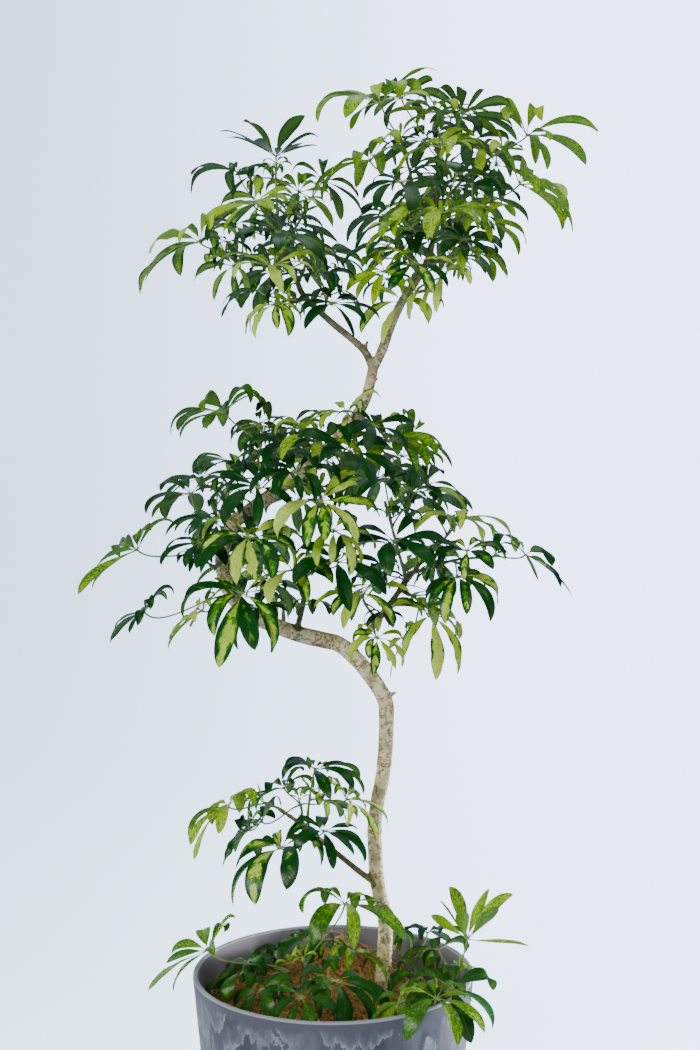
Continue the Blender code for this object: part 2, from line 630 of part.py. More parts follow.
def tube_shape(line, owner):
    """The search shape of a limb: a closed tube that encloses its corners."""
    way = (line[1].xyz - line[0].xyz).normalized()
    spoke = way.orthogonal().normalized()
    points, faces = [], []
    for number, place in enumerate(line):
        before, after = line[max(0, number - 1)], line[min(len(line) - 1, number + 1)]
        way = (after.xyz - before.xyz).normalized()
        spoke = (spoke - way * spoke.dot(way)).normalized()
        reach = place.w / math.cos(math.pi / TUBE_CORNERS)
        points += [
            place.xyz + (Matrix.Rotation(math.tau * k / TUBE_CORNERS, 3, way) @ spoke) * reach
            for k in range(TUBE_CORNERS)
        ]
    for ring in range(len(line) - 1):
        low, high = ring * TUBE_CORNERS, (ring + 1) * TUBE_CORNERS
        for k in range(TUBE_CORNERS):
            turn = (k + 1) % TUBE_CORNERS
            faces += [(low + k, low + turn, high + turn), (low + k, high + turn, high + k)]
    faces += [tuple(range(TUBE_CORNERS)), tuple(range(len(points) - TUBE_CORNERS, len(points)))]
    return shape_of(points, faces, owner)


def lathe_shape(profile, steps, owner, lift=None):
    """The search shape of a turned surface; each of its faces is split both ways."""
    points, faces = [], []
    for radius, height in profile:
        for k in range(steps):
            x, y = radius * math.cos(math.tau * k / steps), radius * math.sin(math.tau * k / steps)
            points.append(Vector((x, y, lift(x, y) if lift else height)))
    for ring in range(len(profile) - 1):
        low, high = ring * steps, (ring + 1) * steps
        for k in range(steps):
            a, b, c, d = low + k, low + (k + 1) % steps, high + (k + 1) % steps, high + k
            faces += [(a, b, c), (a, c, d), (b, c, d), (b, d, a)]
    return shape_of(points, faces, owner)


def crosses(shape, settled, loose):
    """Whether a shape crosses another; a stalk may meet its stem, and a loose leaf its stem's others."""
    return any(
        (other["owner"] != shape["owner"] or not loose and (other["is_blade"] or shape["is_blade"]))
        and boxes_meet(shape["box"], other["box"])
        and shape["tree"].overlap(other["tree"])
        for other in settled
    )


def crossing_parts(leaf, name, settled, loose):
    """The numbers of the leaf's blades that cross anything, with CORE for its hub and stalk."""
    points, core, faces = leaf_shell(leaf, CLEARANCE)
    blades = [shape_of(points, blade, name, True) for blade in faces]
    found = {i for i, blade in enumerate(blades) if crosses(blade, settled, loose)}
    if crosses(shape_of(points, core, name), settled, loose):
        found.add(CORE)
    points, core, faces = leaf_shell(leaf, OWN_CLEARANCE)
    every = core + [face for blade in faces for face in blade]
    part = [CORE] * len(core) + [i for i, blade in enumerate(faces) for _ in blade]
    tree = BVHTree.FromPolygons(points, every)
    for one, other in tree.overlap(tree):
        if one < other and not set(every[one]) & set(every[other]) and not {part[one], part[other]} & found:
            found.add(max(part[one], part[other]))
    return found


def grow_leaf(name, number, line, place, settled):
    """Tries a leaf in several ways and keeps the fullest one that crosses nothing."""
    draw = random.Random(f"{name} {number}")
    best = None
    for attempt in range(ATTEMPTS):
        loose = attempt >= STRICT_ATTEMPTS
        stray = (attempt % STRICT_ATTEMPTS) / STRICT_ATTEMPTS
        leaf = plan_leaf(line, place, draw, stray)
        found = crossing_parts(leaf, name, settled, loose)
        if found:
            leaf = {**leaf, "blades": [blade for i, blade in enumerate(leaf["blades"]) if i not in found]}
            if CORE in found or len(leaf["blades"]) < FEWEST_BLADES:
                continue
            if crossing_parts(leaf, name, settled, loose):
                continue
        if best is None or len(leaf["blades"]) > len(best["blades"]):
            best = leaf
        if not found:
            break
    if best:
        points, core, faces = leaf_shell(best, 0)
        settled.append(shape_of(points, core, name))
        settled += [shape_of(points, blade, name, True) for blade in faces]
    return best


def grow_leaves(stems, settled):
    """The leaves of each stem, the foremost first, every one kept clear of what stands already."""
    grown = {name: [] for name in stems}
    order = [
        (place[2], name, number, line, place)
        for name, (line, places) in stems.items() for number, place in enumerate(places)
    ]
    for _, name, number, line, place in sorted(order, key=lambda entry: entry[:3]):
        leaf = grow_leaf(name, number, line, place, settled)
        if leaf:
            grown[name].append(leaf)
    return grown


def plan_plant():
    """The wood's and stems' lines, and the search shapes of all that stands before the leaves."""
    lines = wood_lines()
    stems, collars = {}, []
    for name, (route, places) in LEAFY_STEMS.items():
        collar, line = stem_seat(route, lines.values())
        collars.append(collar)
        stems[name] = (line, places)
    for name, (route, places) in SPROUTS.items():
        stems[name] = (sprout_line(route), places)
    settled = [
        lathe_shape(pot_profile(), POT_SIDES, "pot"),
        lathe_shape(mulch_rings(), MULCH_SECTORS, "coir_mulch", mulch_height),
    ]
    settled += [tube_shape(line, "trunk") for line in (*lines.values(), *collars, *snag_lines())]
    settled += [tube_shape(line, name) for name, (line, _) in stems.items()]
    return lines, collars, stems, settled


# Making: the solids


def clear_scene():
    for thing in list(bpy.data.objects):
        bpy.data.objects.remove(thing, do_unlink=True)


def collection_named(name):
    made = bpy.data.collections.new(name)
    bpy.context.scene.collection.children.link(made)
    return made


def material_named(name, colour, roughness):
    made = bpy.data.materials.new(name)
    made.use_nodes = True
    shader = made.node_tree.nodes["Principled BSDF"]
    shader.inputs["Base Color"].default_value = (*colour, 1)
    shader.inputs["Roughness"].default_value = roughness
    shader.inputs["Metallic"].default_value = 0.0
    return made


def placed(name, mesh, where, material):
    thing = bpy.data.objects.new(name, mesh)
    where.objects.link(thing)
    if material:
        mesh.materials.clear()
        mesh.materials.append(material)
    return thing


def meshed(thing):
    """Turns an object with modifiers, or a curve, into a plain mesh object in its place."""
    bpy.context.view_layer.update()
    graph = bpy.context.evaluated_depsgraph_get()
    mesh = bpy.data.meshes.new_from_object(thing.evaluated_get(graph), depsgraph=graph)
    work = bmesh.new()
    work.from_mesh(mesh)
    bmesh.ops.remove_doubles(work, verts=work.verts, dist=1e-6)
    bmesh.ops.recalc_face_normals(work, faces=work.faces)
    work.to_mesh(mesh)
    work.free()
    made = placed(thing.name, mesh, thing.users_collection[0], thing.active_material)
    made.matrix_world = thing.matrix_world
    name = thing.name
    bpy.data.objects.remove(thing, do_unlink=True)
    made.name = name
    return made


def limb(name, line, corners, where):
    """A round limb with flat ends along a line of places with radii."""
    curve = bpy.data.curves.new(name, "CURVE")
    curve.dimensions = "3D"
    curve.bevel_depth = 1.0
    curve.bevel_resolution = corners // 2 - 2
    curve.use_fill_caps = True
    spline = curve.splines.new("POLY")
    spline.points.add(len(line) - 1)
    for point, place in zip(spline.points, line):
        point.co = (*place.xyz, 1.0)
        point.radius = place.w
    thing = bpy.data.objects.new(name, curve)
    where.objects.link(thing)
    return meshed(thing)


def turned(name, profile, steps, where, material):
    """A turned solid from (radius, height) points that run down its outer side."""
    mesh = bpy.data.meshes.new(name)
    mesh.from_pydata([(radius, 0, height) for radius, height in profile], [
        (i, i + 1) for i in range(len(profile) - 1)
    ], [])
    thing = placed(name, mesh, where, material)
    screw = thing.modifiers.new("turn", "SCREW")
    screw.steps = screw.render_steps = steps
    screw.use_merge_vertices = True
    screw.merge_threshold = 0.0001
    return meshed(thing)


def joined(base, others, solver):
    """Fuses the other objects into the base object and removes them."""
    group = collection_named("fused")
    for other in others:
        for home in other.users_collection:
            home.objects.unlink(other)
        group.objects.link(other)
    fuse = base.modifiers.new("fuse", "BOOLEAN")
    fuse.operation = "UNION"
    fuse.operand_type = "COLLECTION"
    fuse.collection = group
    fuse.solver = solver
    made = meshed(base)
    for other in others:
        bpy.data.objects.remove(other, do_unlink=True)
    bpy.data.collections.remove(group)
    return made


def bored(thing, holes):
    """Cuts plain upright holes, each given as x, y, radius, lowest and highest point."""
    cutters = collection_named(thing.name + " cutters")
    for x, y, radius, low, high in holes:
        work = bmesh.new()
        bmesh.ops.create_cone(
            work, cap_ends=True, segments=HOLE_CORNERS, radius1=radius, radius2=radius, depth=high - low
        )
        mesh = bpy.data.meshes.new("bore")
        work.to_mesh(mesh)
        work.free()
        cutter = placed("bore", mesh, cutters, None)
        cutter.location = (x, y, (low + high) / 2)
        cutter.hide_render = True
        cutter.display_type = "WIRE"
    cut = thing.modifiers.new("bores", "BOOLEAN")
    cut.operation = "DIFFERENCE"
    cut.operand_type = "COLLECTION"
    cut.collection = cutters
    cut.solver = "MANIFOLD"
    made = meshed(thing)
    for cutter in list(cutters.objects):
        bpy.data.objects.remove(cutter, do_unlink=True)
    bpy.data.collections.remove(cutters)
    return made


def make_soil(where, material, holes):
    low = POT_FLOOR + GAP
    side = wall_radius(low) - 2 * GAP
    top_side = wall_radius(SOIL_TOP) - 2 * GAP
    soil = turned(
        "potting_soil", [(0, SOIL_TOP), (top_side, SOIL_TOP), (side, low), (0, low)],
        POT_SIDES, where, material,
    )
    return bored(soil, holes)


def make_mulch(where, material, holes):
    low = SOIL_TOP + GAP
    rings = mulch_rings()
    mulch = turned("coir_mulch", [*rings, (rings[-1][0], low), (0, low)], MULCH_SECTORS, where, material)
    for vertex in mulch.data.vertices:
        if vertex.co.z > MULCH_TOP - GAP:
            vertex.co.z = mulch_height(vertex.co.x, vertex.co.y)
    return bored(mulch, holes)


def make_wood(where, material, lines, collars):
    """The trunk with its boughs, collars and snags as one piece of wood."""
    trunk_line = lines["trunk"]
    foot = Vector((*trunk_line[0].xy, SOIL_TOP - TRUNK_HOLE_DEPTH + GAP))
    full = [with_radius(foot, trunk_line[0].w), *trunk_line]
    trunk = limb("trunk", full, TRUNK_CORNERS, where)
    others = [limb(name, line, BOUGH_CORNERS, where) for name, line in lines.items() if name != "trunk"]
    others += [limb("collar", collar, COLLAR_CORNERS, where) for collar in collars]
    others += [limb("snag", line, STEM_CORNERS, where) for line in snag_lines()]
    wood = joined(trunk, others, "MANIFOLD")
    wood.data.materials.clear()
    wood.data.materials.append(material)
    return wood


def leaf_object(leaf, where):
    points, core, faces = leaf_shell(leaf, 0)
    mesh = bpy.data.meshes.new("leaf")
    mesh.from_pydata(points, [], core + [face for blade in faces for face in blade])
    work = bmesh.new()
    work.from_mesh(mesh)
    bmesh.ops.triangulate(work, faces=work.faces)
    bmesh.ops.recalc_face_normals(work, faces=work.faces)
    work.to_mesh(mesh)
    work.free()
    return placed("leaf", mesh, where, None)


def main():
    clear_scene()
    plant = collection_named("potted_ashfolia_schefflera")
    bark = material_named("bark", (0.42, 0.33, 0.23), 0.8)
    variegated = material_named("variegated_leaf", (0.13, 0.26, 0.05), 0.4)
    glaze = material_named("marbled_grey", (0.22, 0.24, 0.28), 0.5)
    earth = material_named("potting_soil", (0.05, 0.035, 0.025), 0.95)
    coir = material_named("coir", (0.36, 0.19, 0.08), 0.95)

    lines, collars, stems, settled = plan_plant()
    holes = [
        (stems[name][0][0].x, stems[name][0][0].y, STEM_RADIUS + HOLE_ROOM, HOLE_DEPTH) for name in SPROUTS
    ]
    trunk_foot = lines["trunk"][0]
    holes.append((trunk_foot.x, trunk_foot.y, trunk_foot.w + HOLE_ROOM, TRUNK_HOLE_DEPTH))
    turned("pot", pot_profile(), POT_SIDES, plant, glaze)
    make_soil(plant, earth, [(x, y, r, SOIL_TOP - deep, MULCH_TOP) for x, y, r, deep in holes])
    make_mulch(plant, coir, [(x, y, r, SOIL_TOP - HOLE_DEPTH, POT_HEIGHT) for x, y, r, _ in holes])
    make_wood(plant, bark, lines, collars)
    for name, leaves in grow_leaves(stems, settled).items():
        stem = limb(name, stems[name][0], STEM_CORNERS, plant)
        stem = joined(stem, [leaf_object(leaf, plant) for leaf in leaves], "MANIFOLD")
        stem.data.materials.clear()
        stem.data.materials.append(variegated)
    for thing in plant.objects:
        thing.data.shade_smooth()
        thing.data.set_sharp_from_angle(angle=math.radians(40))


main()
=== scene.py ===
"""The looks of a potted ashfolia schefflera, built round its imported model.

Metres, +Z up, in the model's own frame: the origin is the centre of the pot's flat underside, +X is to the
right and +Y to the back as the photograph shows the plant.
"""

import json
import math
import random

import bpy
import numpy as np
from mathutils import Matrix, Vector, kdtree, noise
from mathutils.bvhtree import BVHTree

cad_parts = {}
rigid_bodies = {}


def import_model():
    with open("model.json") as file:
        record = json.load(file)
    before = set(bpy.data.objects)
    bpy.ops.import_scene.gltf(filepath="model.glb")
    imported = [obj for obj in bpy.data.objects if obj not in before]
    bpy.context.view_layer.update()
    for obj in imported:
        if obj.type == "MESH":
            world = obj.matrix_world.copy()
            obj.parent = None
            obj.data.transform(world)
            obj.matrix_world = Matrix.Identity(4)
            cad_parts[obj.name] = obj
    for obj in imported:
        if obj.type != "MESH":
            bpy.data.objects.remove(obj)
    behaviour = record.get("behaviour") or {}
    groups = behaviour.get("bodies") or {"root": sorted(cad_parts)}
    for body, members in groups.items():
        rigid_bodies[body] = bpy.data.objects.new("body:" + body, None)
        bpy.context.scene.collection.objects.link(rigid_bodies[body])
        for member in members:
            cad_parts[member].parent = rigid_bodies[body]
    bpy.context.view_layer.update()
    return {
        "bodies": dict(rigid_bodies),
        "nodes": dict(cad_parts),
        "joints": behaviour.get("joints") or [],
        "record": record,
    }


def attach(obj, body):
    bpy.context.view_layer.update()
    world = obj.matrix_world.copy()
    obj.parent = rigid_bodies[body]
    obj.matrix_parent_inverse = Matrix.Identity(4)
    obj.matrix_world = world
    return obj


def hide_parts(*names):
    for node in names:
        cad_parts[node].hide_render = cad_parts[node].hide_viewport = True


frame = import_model()


# The pot is a thin-walled tapered planter, moulded in resin with stone dust and turned out of its mould.
# Pale streaks run down its grey sides like marbling, and the lip is rounded and left plain.

POT_HEIGHT = 0.340
POT_RIM_RADIUS = 0.185
POT_FOOT_RADIUS = 0.150
POT_WALL = 0.007
POT_FLOOR = 0.012
FLOOR_BEVEL = 0.004
LIP_ROUNDING = 0.0025
FOOT_ROUNDING = 0.005
LIP_STEPS = 6
FINE_POT_SIDES = 160
WALL_BANDS = 24
MERGE_WITHIN = 0.00001
# Heights at which the plain band under the lip ends and the painted highlight along the rounded lip starts
PLAIN_BAND_ENDS = (0.313, 0.303)
LIP_HIGHLIGHT_STARTS = (0.3370, 0.3386)
# The slope of a line between the pot's two skins, and its radius at the floor
BETWEEN_SKINS = (0.103, 0.1445)


def wall_radius(height):
    """The pot's inner radius at a height."""
    slope = (POT_RIM_RADIUS - POT_FOOT_RADIUS) / POT_HEIGHT
    return POT_FOOT_RADIUS + slope * height - POT_WALL


def arc(centre, radius, start, end, steps):
    """Points of a round stretch of an outline, from one angle in degrees to another."""
    angles = [math.radians(start + (end - start) * step / steps) for step in range(steps + 1)]
    return [(centre[0] + radius * math.cos(a), centre[1] + radius * math.sin(a)) for a in angles]


def fine_pot_profile():
    """The pot's outline from the middle of its floor inside, over the lip and down to the underside."""
    lip, foot = LIP_ROUNDING, FOOT_ROUNDING
    inner_rim = POT_RIM_RADIUS - POT_WALL
    floor_edge = wall_radius(POT_FLOOR)
    outline = [(0, POT_FLOOR), (floor_edge * 0.5, POT_FLOOR), (floor_edge - FLOOR_BEVEL, POT_FLOOR)]
    for band in range(WALL_BANDS):
        share = band / WALL_BANDS
        height = POT_FLOOR + FLOOR_BEVEL + share * (POT_HEIGHT - lip - POT_FLOOR - FLOOR_BEVEL)
        outline.append((floor_edge + share * (inner_rim - floor_edge), height))
    outline += arc((inner_rim + lip, POT_HEIGHT - lip), lip, 180, 90, LIP_STEPS)
    outline += arc((POT_RIM_RADIUS - lip, POT_HEIGHT - lip), lip, 90, 0, LIP_STEPS)
    for band in range(1, WALL_BANDS):
        share = band / WALL_BANDS
        height = POT_HEIGHT - lip - share * (POT_HEIGHT - lip - foot)
        outline.append((POT_RIM_RADIUS + share * (POT_FOOT_RADIUS - POT_RIM_RADIUS), height))
    outline += arc((POT_FOOT_RADIUS - foot, foot), foot, 0, -90, LIP_STEPS)
    return outline + [(POT_FOOT_RADIUS * 0.5, 0), (0, 0)]


def turned(name, profile, steps):
    """A turned mesh object from (radius, height) points that run from the inside to the underside."""
    mesh = bpy.data.meshes.new(name)
    edges = [(i, i + 1) for i in range(len(profile) - 1)]
    mesh.from_pydata([(radius, 0, height) for radius, height in profile], edges, [])
    thing = bpy.data.objects.new(name, mesh)
    bpy.context.scene.collection.objects.link(thing)
    screw = thing.modifiers.new("turn", "SCREW")
    screw.steps = screw.render_steps = steps
    screw.use_merge_vertices = True
    screw.merge_threshold = MERGE_WITHIN
    graph = bpy.context.evaluated_depsgraph_get()
    made = bpy.data.meshes.new_from_object(thing.evaluated_get(graph), depsgraph=graph)
    thing.modifiers.clear()
    thing.data = made
    made.shade_smooth()
    return thing


def paint(red, green, blue):
    """A shader colour from the values that a screen would show, 0 to 255."""
    values = [value / 255 for value in (red, green, blue)]
    return (*(v / 12.92 if v <= 0.04045 else ((v + 0.055) / 1.055) ** 2.4 for v in values), 1.0)


def fill(tree, socket, value):
    """Gives a node's input a value, or links another node's output to it."""
    if isinstance(value, bpy.types.NodeSocket):
        tree.links.new(value, socket)
    else:
        socket.default_value = value


def add(tree, kind, inputs, **settings):
    """Adds a shader node with its settings, fills its inputs, and returns it."""
    made = tree.nodes.new("ShaderNode" + kind)
    for key, value in settings.items():
        setattr(made, key, value)
    for key, value in inputs.items():
        fill(tree, made.inputs[key], value)
    return made


def sum_up(tree, operation, *values):
    """The result of a Math node on values or outputs."""
    return add(tree, "Math", dict(enumerate(values)), operation=operation).outputs[0]


def times(tree, value, factor, added=0.0):
    """A value times a factor, with something added to it."""
    return sum_up(tree, "MULTIPLY_ADD", value, factor, added)


def step_mask(tree, value, low, high):
    """0 below one value and 1 above another, with a smooth slope between."""
    made = add(tree, "MapRange", {"Value": value, "From Min": low, "From Max": high})
    made.interpolation_type = "SMOOTHSTEP"
    return made.outputs["Result"]


def blend_colours(tree, share, first, second):
    """A colour between two others."""
    return add(tree, "Mix", {0: share, 6: first, 7: second}, data_type="RGBA").outputs[2]


def stretched(tree, vector, scale):
    """A vector with each of its axes scaled."""
    return add(tree, "Mapping", {"Vector": vector, "Scale": scale}).outputs["Vector"]


def noise_at(tree, vector, scale, detail, roughness, distortion=0.0):
    """The value of a noise texture at a vector."""
    values = {"Vector": vector, "Scale": scale, "Detail": detail}
    values |= {"Roughness": roughness, "Distortion": distortion}
    return add(tree, "TexNoise", values).outputs["Fac"]


def new_material(name):
    """A material with its node tree and its shader."""
    made = bpy.data.materials.new(name)
    made.use_nodes = True
    return made, made.node_tree, made.node_tree.nodes["Principled BSDF"]


def own_place(tree):
    """The place of each point in its object's own frame."""
    return add(tree, "TexCoord", {}).outputs["Object"]


def coat(tree, shader, colour, rough, height, strength, distance):
    """Gives a skin its colour, its roughness and a bump from a height."""
    fill(tree, shader.inputs["Base Color"], colour)
    fill(tree, shader.inputs["Roughness"], rough)
    bump = add(tree, "Bump", {"Height": height, "Strength": strength, "Distance": distance})
    fill(tree, shader.inputs["Normal"], bump.outputs[0])


def new_effect(name, inputs, outputs):
    """An empty node group with named float, vector or colour sockets, and its two end nodes."""
    kinds = {"value": "NodeSocketFloat", "vector": "NodeSocketVector", "colour": "NodeSocketColor"}
    tree = bpy.data.node_groups.new(name, "ShaderNodeTree")
    for socket, kind in inputs.items():
        tree.interface.new_socket(socket, in_out="INPUT", socket_type=kinds[kind])
    for socket, kind in outputs.items():
        tree.interface.new_socket(socket, in_out="OUTPUT", socket_type=kinds[kind])
    return tree, tree.nodes.new("NodeGroupInput").outputs, tree.nodes.new("NodeGroupOutput").inputs


def use_effect(tree, effect, inputs):
    """Places an effect in a material with its own values, and returns its outputs."""
    made = tree.nodes.new("ShaderNodeGroup")
    made.node_tree = effect
    for key, value in inputs.items():
        fill(tree, made.inputs[key], value)
    return made.outputs


def make_blotches():
    """Irregular patches with edges of a chosen softness."""
    tree, given, wanted = new_effect(
        "blotches",
        {"Vector": "vector", "Scale": "value", "Warp": "value", "Cover": "value", "Softness": "value"},
        {"Mask": "value"},
    )
    clouds = noise_at(tree, given["Vector"], given["Scale"], 6.0, 0.6, given["Warp"])
    edge = sum_up(tree, "SUBTRACT", 1.0, given["Cover"])
    low = sum_up(tree, "SUBTRACT", edge, given["Softness"])
    high = sum_up(tree, "ADD", edge, given["Softness"])
    tree.links.new(step_mask(tree, clouds, low, high), wanted["Mask"])
    return tree


def make_speckle():
    """A fine uneven grain, as a height for bumps and a mask for colour."""
    tree, given, wanted = new_effect(
        "speckle", {"Vector": "vector", "Scale": "value"}, {"Height": "value", "Mask": "value"}
    )
    grain = noise_at(tree, given["Vector"], given["Scale"], 4.0, 0.7)
    tree.links.new(grain, wanted["Height"])
    tree.links.new(step_mask(tree, grain, 0.55, 0.68), wanted["Mask"])
    return tree


blotches = make_blotches()
speckle = make_speckle()


def patches_at(tree, vector, scale, warp, cover, softness):
    """The mask of the blotches at a vector."""
    values = {"Vector": vector, "Scale": scale, "Warp": warp, "Cover": cover, "Softness": softness}
    return use_effect(tree, blotches, values)["Mask"]


def make_marbled_grey():
    """Grey resin: a plain band under the lip, then layers of torn drips, each palest at its lower edge, and a
    painted highlight along the rounded lip.
    """
    made, tree, shader = new_material("marbled_grey")
    place = own_place(tree)
    height = add(tree, "SeparateXYZ", {0: place}).outputs["Z"]
    streaked = stretched(tree, place, (1.0, 1.0, 0.34))
    zones = patches_at(tree, streaked, 8.0, 0.8, 0.50, 0.13)
    dark_clouds = patches_at(tree, streaked, 13.0, 1.0, 0.46, 0.05)
    torn = noise_at(tree, streaked, 24.0, 9.0, 0.68, 0.6)
    drift = noise_at(tree, place, 7.0, 3.0, 0.5, 0.4)
    layer = times(tree, drift, 4.5, times(tree, height, -9.0))
    layer = sum_up(tree, "FRACT", times(tree, torn, 3.4, layer))
    wisps = noise_at(tree, stretched(tree, place, (1.0, 1.0, 0.16)), 120.0, 4.0, 0.65, 0.5)
    below_lip = times(tree, noise_at(tree, streaked, 34.0, 5.0, 0.65), -0.036, height)
    below_lip = step_mask(tree, below_lip, *PLAIN_BAND_ENDS)
    drips = times(tree, step_mask(tree, layer, 0.25, 1.0), below_lip)
    edges = times(tree, step_mask(tree, layer, 0.72, 0.98), below_lip)
    drips = times(tree, drips, times(tree, wisps, 0.9, 0.2))
    edges = times(tree, edges, step_mask(tree, wisps, 0.34, 0.62))
    edges = times(tree, edges, times(tree, zones, 0.65, 0.20))
    dark = times(tree, dark_clouds, times(tree, below_lip, 0.80))
    colour = blend_colours(tree, dark, paint(77, 78, 83), paint(55, 56, 61))
    colour = blend_colours(tree, drips, colour, paint(114, 117, 123))
    colour = blend_colours(tree, times(tree, edges, 0.58), colour, paint(184, 190, 198))
    away = add(tree, "VectorMath", {0: place, 1: (1.0, 1.0, 0.0)}, operation="MULTIPLY").outputs[0]
    spread = add(tree, "VectorMath", {0: away}, operation="LENGTH").outputs["Value"]
    wall = sum_up(tree, "SUBTRACT", spread, times(tree, height, *BETWEEN_SKINS))
    outside = step_mask(tree, wall, 0.0, 0.002)
    inside_colour = blend_colours(tree, zones, paint(112, 107, 118), paint(130, 125, 136))
    colour = blend_colours(tree, outside, inside_colour, colour)
    # Painted highlight: the rounded lip is painted paler, as where it catches the light
    lip = step_mask(tree, height, *LIP_HIGHLIGHT_STARTS)
    colour = blend_colours(tree, times(tree, lip, 0.85), colour, paint(162, 167, 177))
    grain = use_effect(tree, speckle, {"Vector": place, "Scale": 900.0})
    colour = blend_colours(tree, times(tree, grain["Mask"], 0.12), colour, paint(60, 62, 70))
    coat(tree, shader, colour, times(tree, zones, 0.10, 0.48), grain["Height"], 0.12, 0.0004)
    return made


pot = turned("planter", fine_pot_profile(), FINE_POT_SIDES)
pot.data.materials.append(make_marbled_grey())
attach(pot, "root")
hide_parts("pot")


# The potting soil is a dark crumbly mix that fills the pot and holds the roots. It was poured in round them
# and pressed down, and the coir covers it.


def make_earth():
    """Potting soil: dark brown crumbs with damp patches."""
    made, tree, shader = new_material("potting_earth")
    place = own_place(tree)
    crumbs = use_effect(tree, speckle, {"Vector": place, "Scale": 320.0})
    damp = patches_at(tree, place, 30.0, 0.5, 0.5, 0.1)
    colour = blend_colours(tree, damp, paint(58, 44, 34), paint(38, 29, 23))
    colour = blend_colours(tree, crumbs["Mask"], colour, paint(92, 74, 58))
    coat(tree, shader, colour, 0.95, crumbs["Height"], 0.8, 0.002)
    return made


soil = frame["nodes"]["potting_soil"]
soil.data.materials.clear()
soil.data.materials.append(make_earth())


# The mulch is loose coconut coir: springy brown fibres teased out and laid by hand in low mounds, with
# stray ends that stick up and curl over each other.

SOIL_TOP = 0.246
MULCH_TOP = 0.279
# Each mound of coir: x, y, height over the mulch's top, radius
MULCH_MOUNDS = (
    (-0.110, 0.045, 0.014, 0.055),
    (0.008, 0.142, 0.046, 0.045),
    (0.000, 0.010, 0.012, 0.050),
    (0.125, 0.070, -0.010, 0.050),
    (0.080, -0.110, 0.010, 0.060),
    (-0.070, -0.100, 0.012, 0.060),
)
MULCH_RIPPLE = 0.002
GAP = 0.0003
MULCH_RADIUS = wall_radius(SOIL_TOP + GAP) - 2 * GAP
BED_SECTORS = 132
BED_RINGS = 42
BED_LOOK = (0.4, 1.0, 0.0, 1.0)
TUFT_HEIGHT = 0.0050
STRAND_HEIGHT = 0.0008
FIBRE_COUNT = 4000
LOOSE_COUNT = 620
# How high the laid and the loose fibres rise, how long they are, and their shades from dark to pale
LAID_FIBRES = ((0.000, 0.0045), (0.02, 0.06), (0.0, 1.0))
LOOSE_FIBRES = ((0.004, 0.026), (0.05, 0.12), (0.55, 1.0))
FIBRE_RADIUS = 0.00050
FIBRE_THICKNESS = (0.5, 1.35)
FIBRE_BENDS = 7
FIBRE_CURL = 3.6
FIBRE_WANDER = 0.35
FIBRE_UNEVEN = (-0.0004, 0.0009)
FIBRE_MARGIN = 0.002
FIBRE_SUNK, FIBRE_TIP = 0.3, 0.4
SHARP_FROM = 60


def mulch_height(x, y):
    """The coir's surface: low mounds on a nearly level bed."""
    height = MULCH_TOP
    for mound_x, mound_y, rise, radius in MULCH_MOUNDS:
        height += rise * math.exp(-((x - mound_x) ** 2 + (y - mound_y) ** 2) / radius**2)
    return height + MULCH_RIPPLE * math.sin(61 * x + 3) * math.cos(47 * y)


class Shell:
    """Points and faces collected for one mesh, with the looks that each point carries."""

    def __init__(self):
        self.points, self.faces, self.slots, self.looks, self.places = [], [], [], [], []

    def add_points(self, points, look, places=None):
        """Adds points that share a look, or have one each, and returns the first one's number."""
        first = len(self.points)
        self.points += [tuple(point) for point in points]
        self.looks += look if isinstance(look, list) else [look] * len(points)
        self.places += places or [(0.0, 0.0)] * len(points)
        return first

    def add_faces(self, faces, slot=0):
        """Adds faces that share a material slot."""
        self.faces += faces
        self.slots += [slot] * len(faces)

    def finish(self, name, materials):
        """The mesh object, with its looks as a colour attribute and its places as a UV map."""
        mesh = bpy.data.meshes.new(name)
        mesh.from_pydata(self.points, [], self.faces)
        for material in materials:
            mesh.materials.append(material)
        mesh.polygons.foreach_set("material_index", self.slots)
        looks = mesh.attributes.new("look", "FLOAT_COLOR", "POINT")
        looks.data.foreach_set("color", np.array(self.looks, np.float32).ravel())
        layer = mesh.uv_layers.new(name="place")
        corners = np.zeros(len(mesh.loops), np.int32)
        mesh.loops.foreach_get("vertex_index", corners)
        layer.data.foreach_set("uv", np.array(self.places, np.float32)[corners].ravel())
        mesh.validate()
        mesh.shade_smooth()
        mesh.set_sharp_from_angle(angle=math.radians(SHARP_FROM))
        thing = bpy.data.objects.new(name, mesh)
        bpy.context.scene.collection.objects.link(thing)
        return thing


def tube_rings(points, radii, corners):
    """A ring of points round each point of a line, with its radius."""
    way = (points[1] - points[0]).normalized()
    spoke = way.orthogonal().normalized()
    angles = [math.tau * k / corners for k in range(corners)]
    rings = []
    for number, (point, radius) in enumerate(zip(points, radii)):
        way = (points[min(len(points) - 1, number + 1)] - points[max(0, number - 1)]).normalized()
        spoke = (spoke - way * spoke.dot(way)).normalized()
        other = way.cross(spoke)
        rings.append([point + (spoke * math.cos(a) + other * math.sin(a)) * radius for a in angles])
    return rings


def add_tube(shell, points, radii, corners, look, slot=0):
    """Adds a closed tube along points, with a radius at each, that shares a look or has one at each."""
    firsts = []
    for number, ring in enumerate(tube_rings(points, radii, corners)):
        here = look[number] if isinstance(look, list) else look
        along = number / (len(points) - 1)
        firsts.append(shell.add_points(ring, here, [(along, k / corners) for k in range(corners)]))
    faces = []
    for low, high in zip(firsts, firsts[1:]):
        faces += [
            (low + k, low + (k + 1) % corners, high + (k + 1) % corners, high + k) for k in range(corners)
        ]
    faces.append(tuple(range(firsts[0] + corners - 1, firsts[0] - 1, -1)))
    faces.append(tuple(range(firsts[-1], firsts[-1] + corners)))
    shell.add_faces(faces, slot)


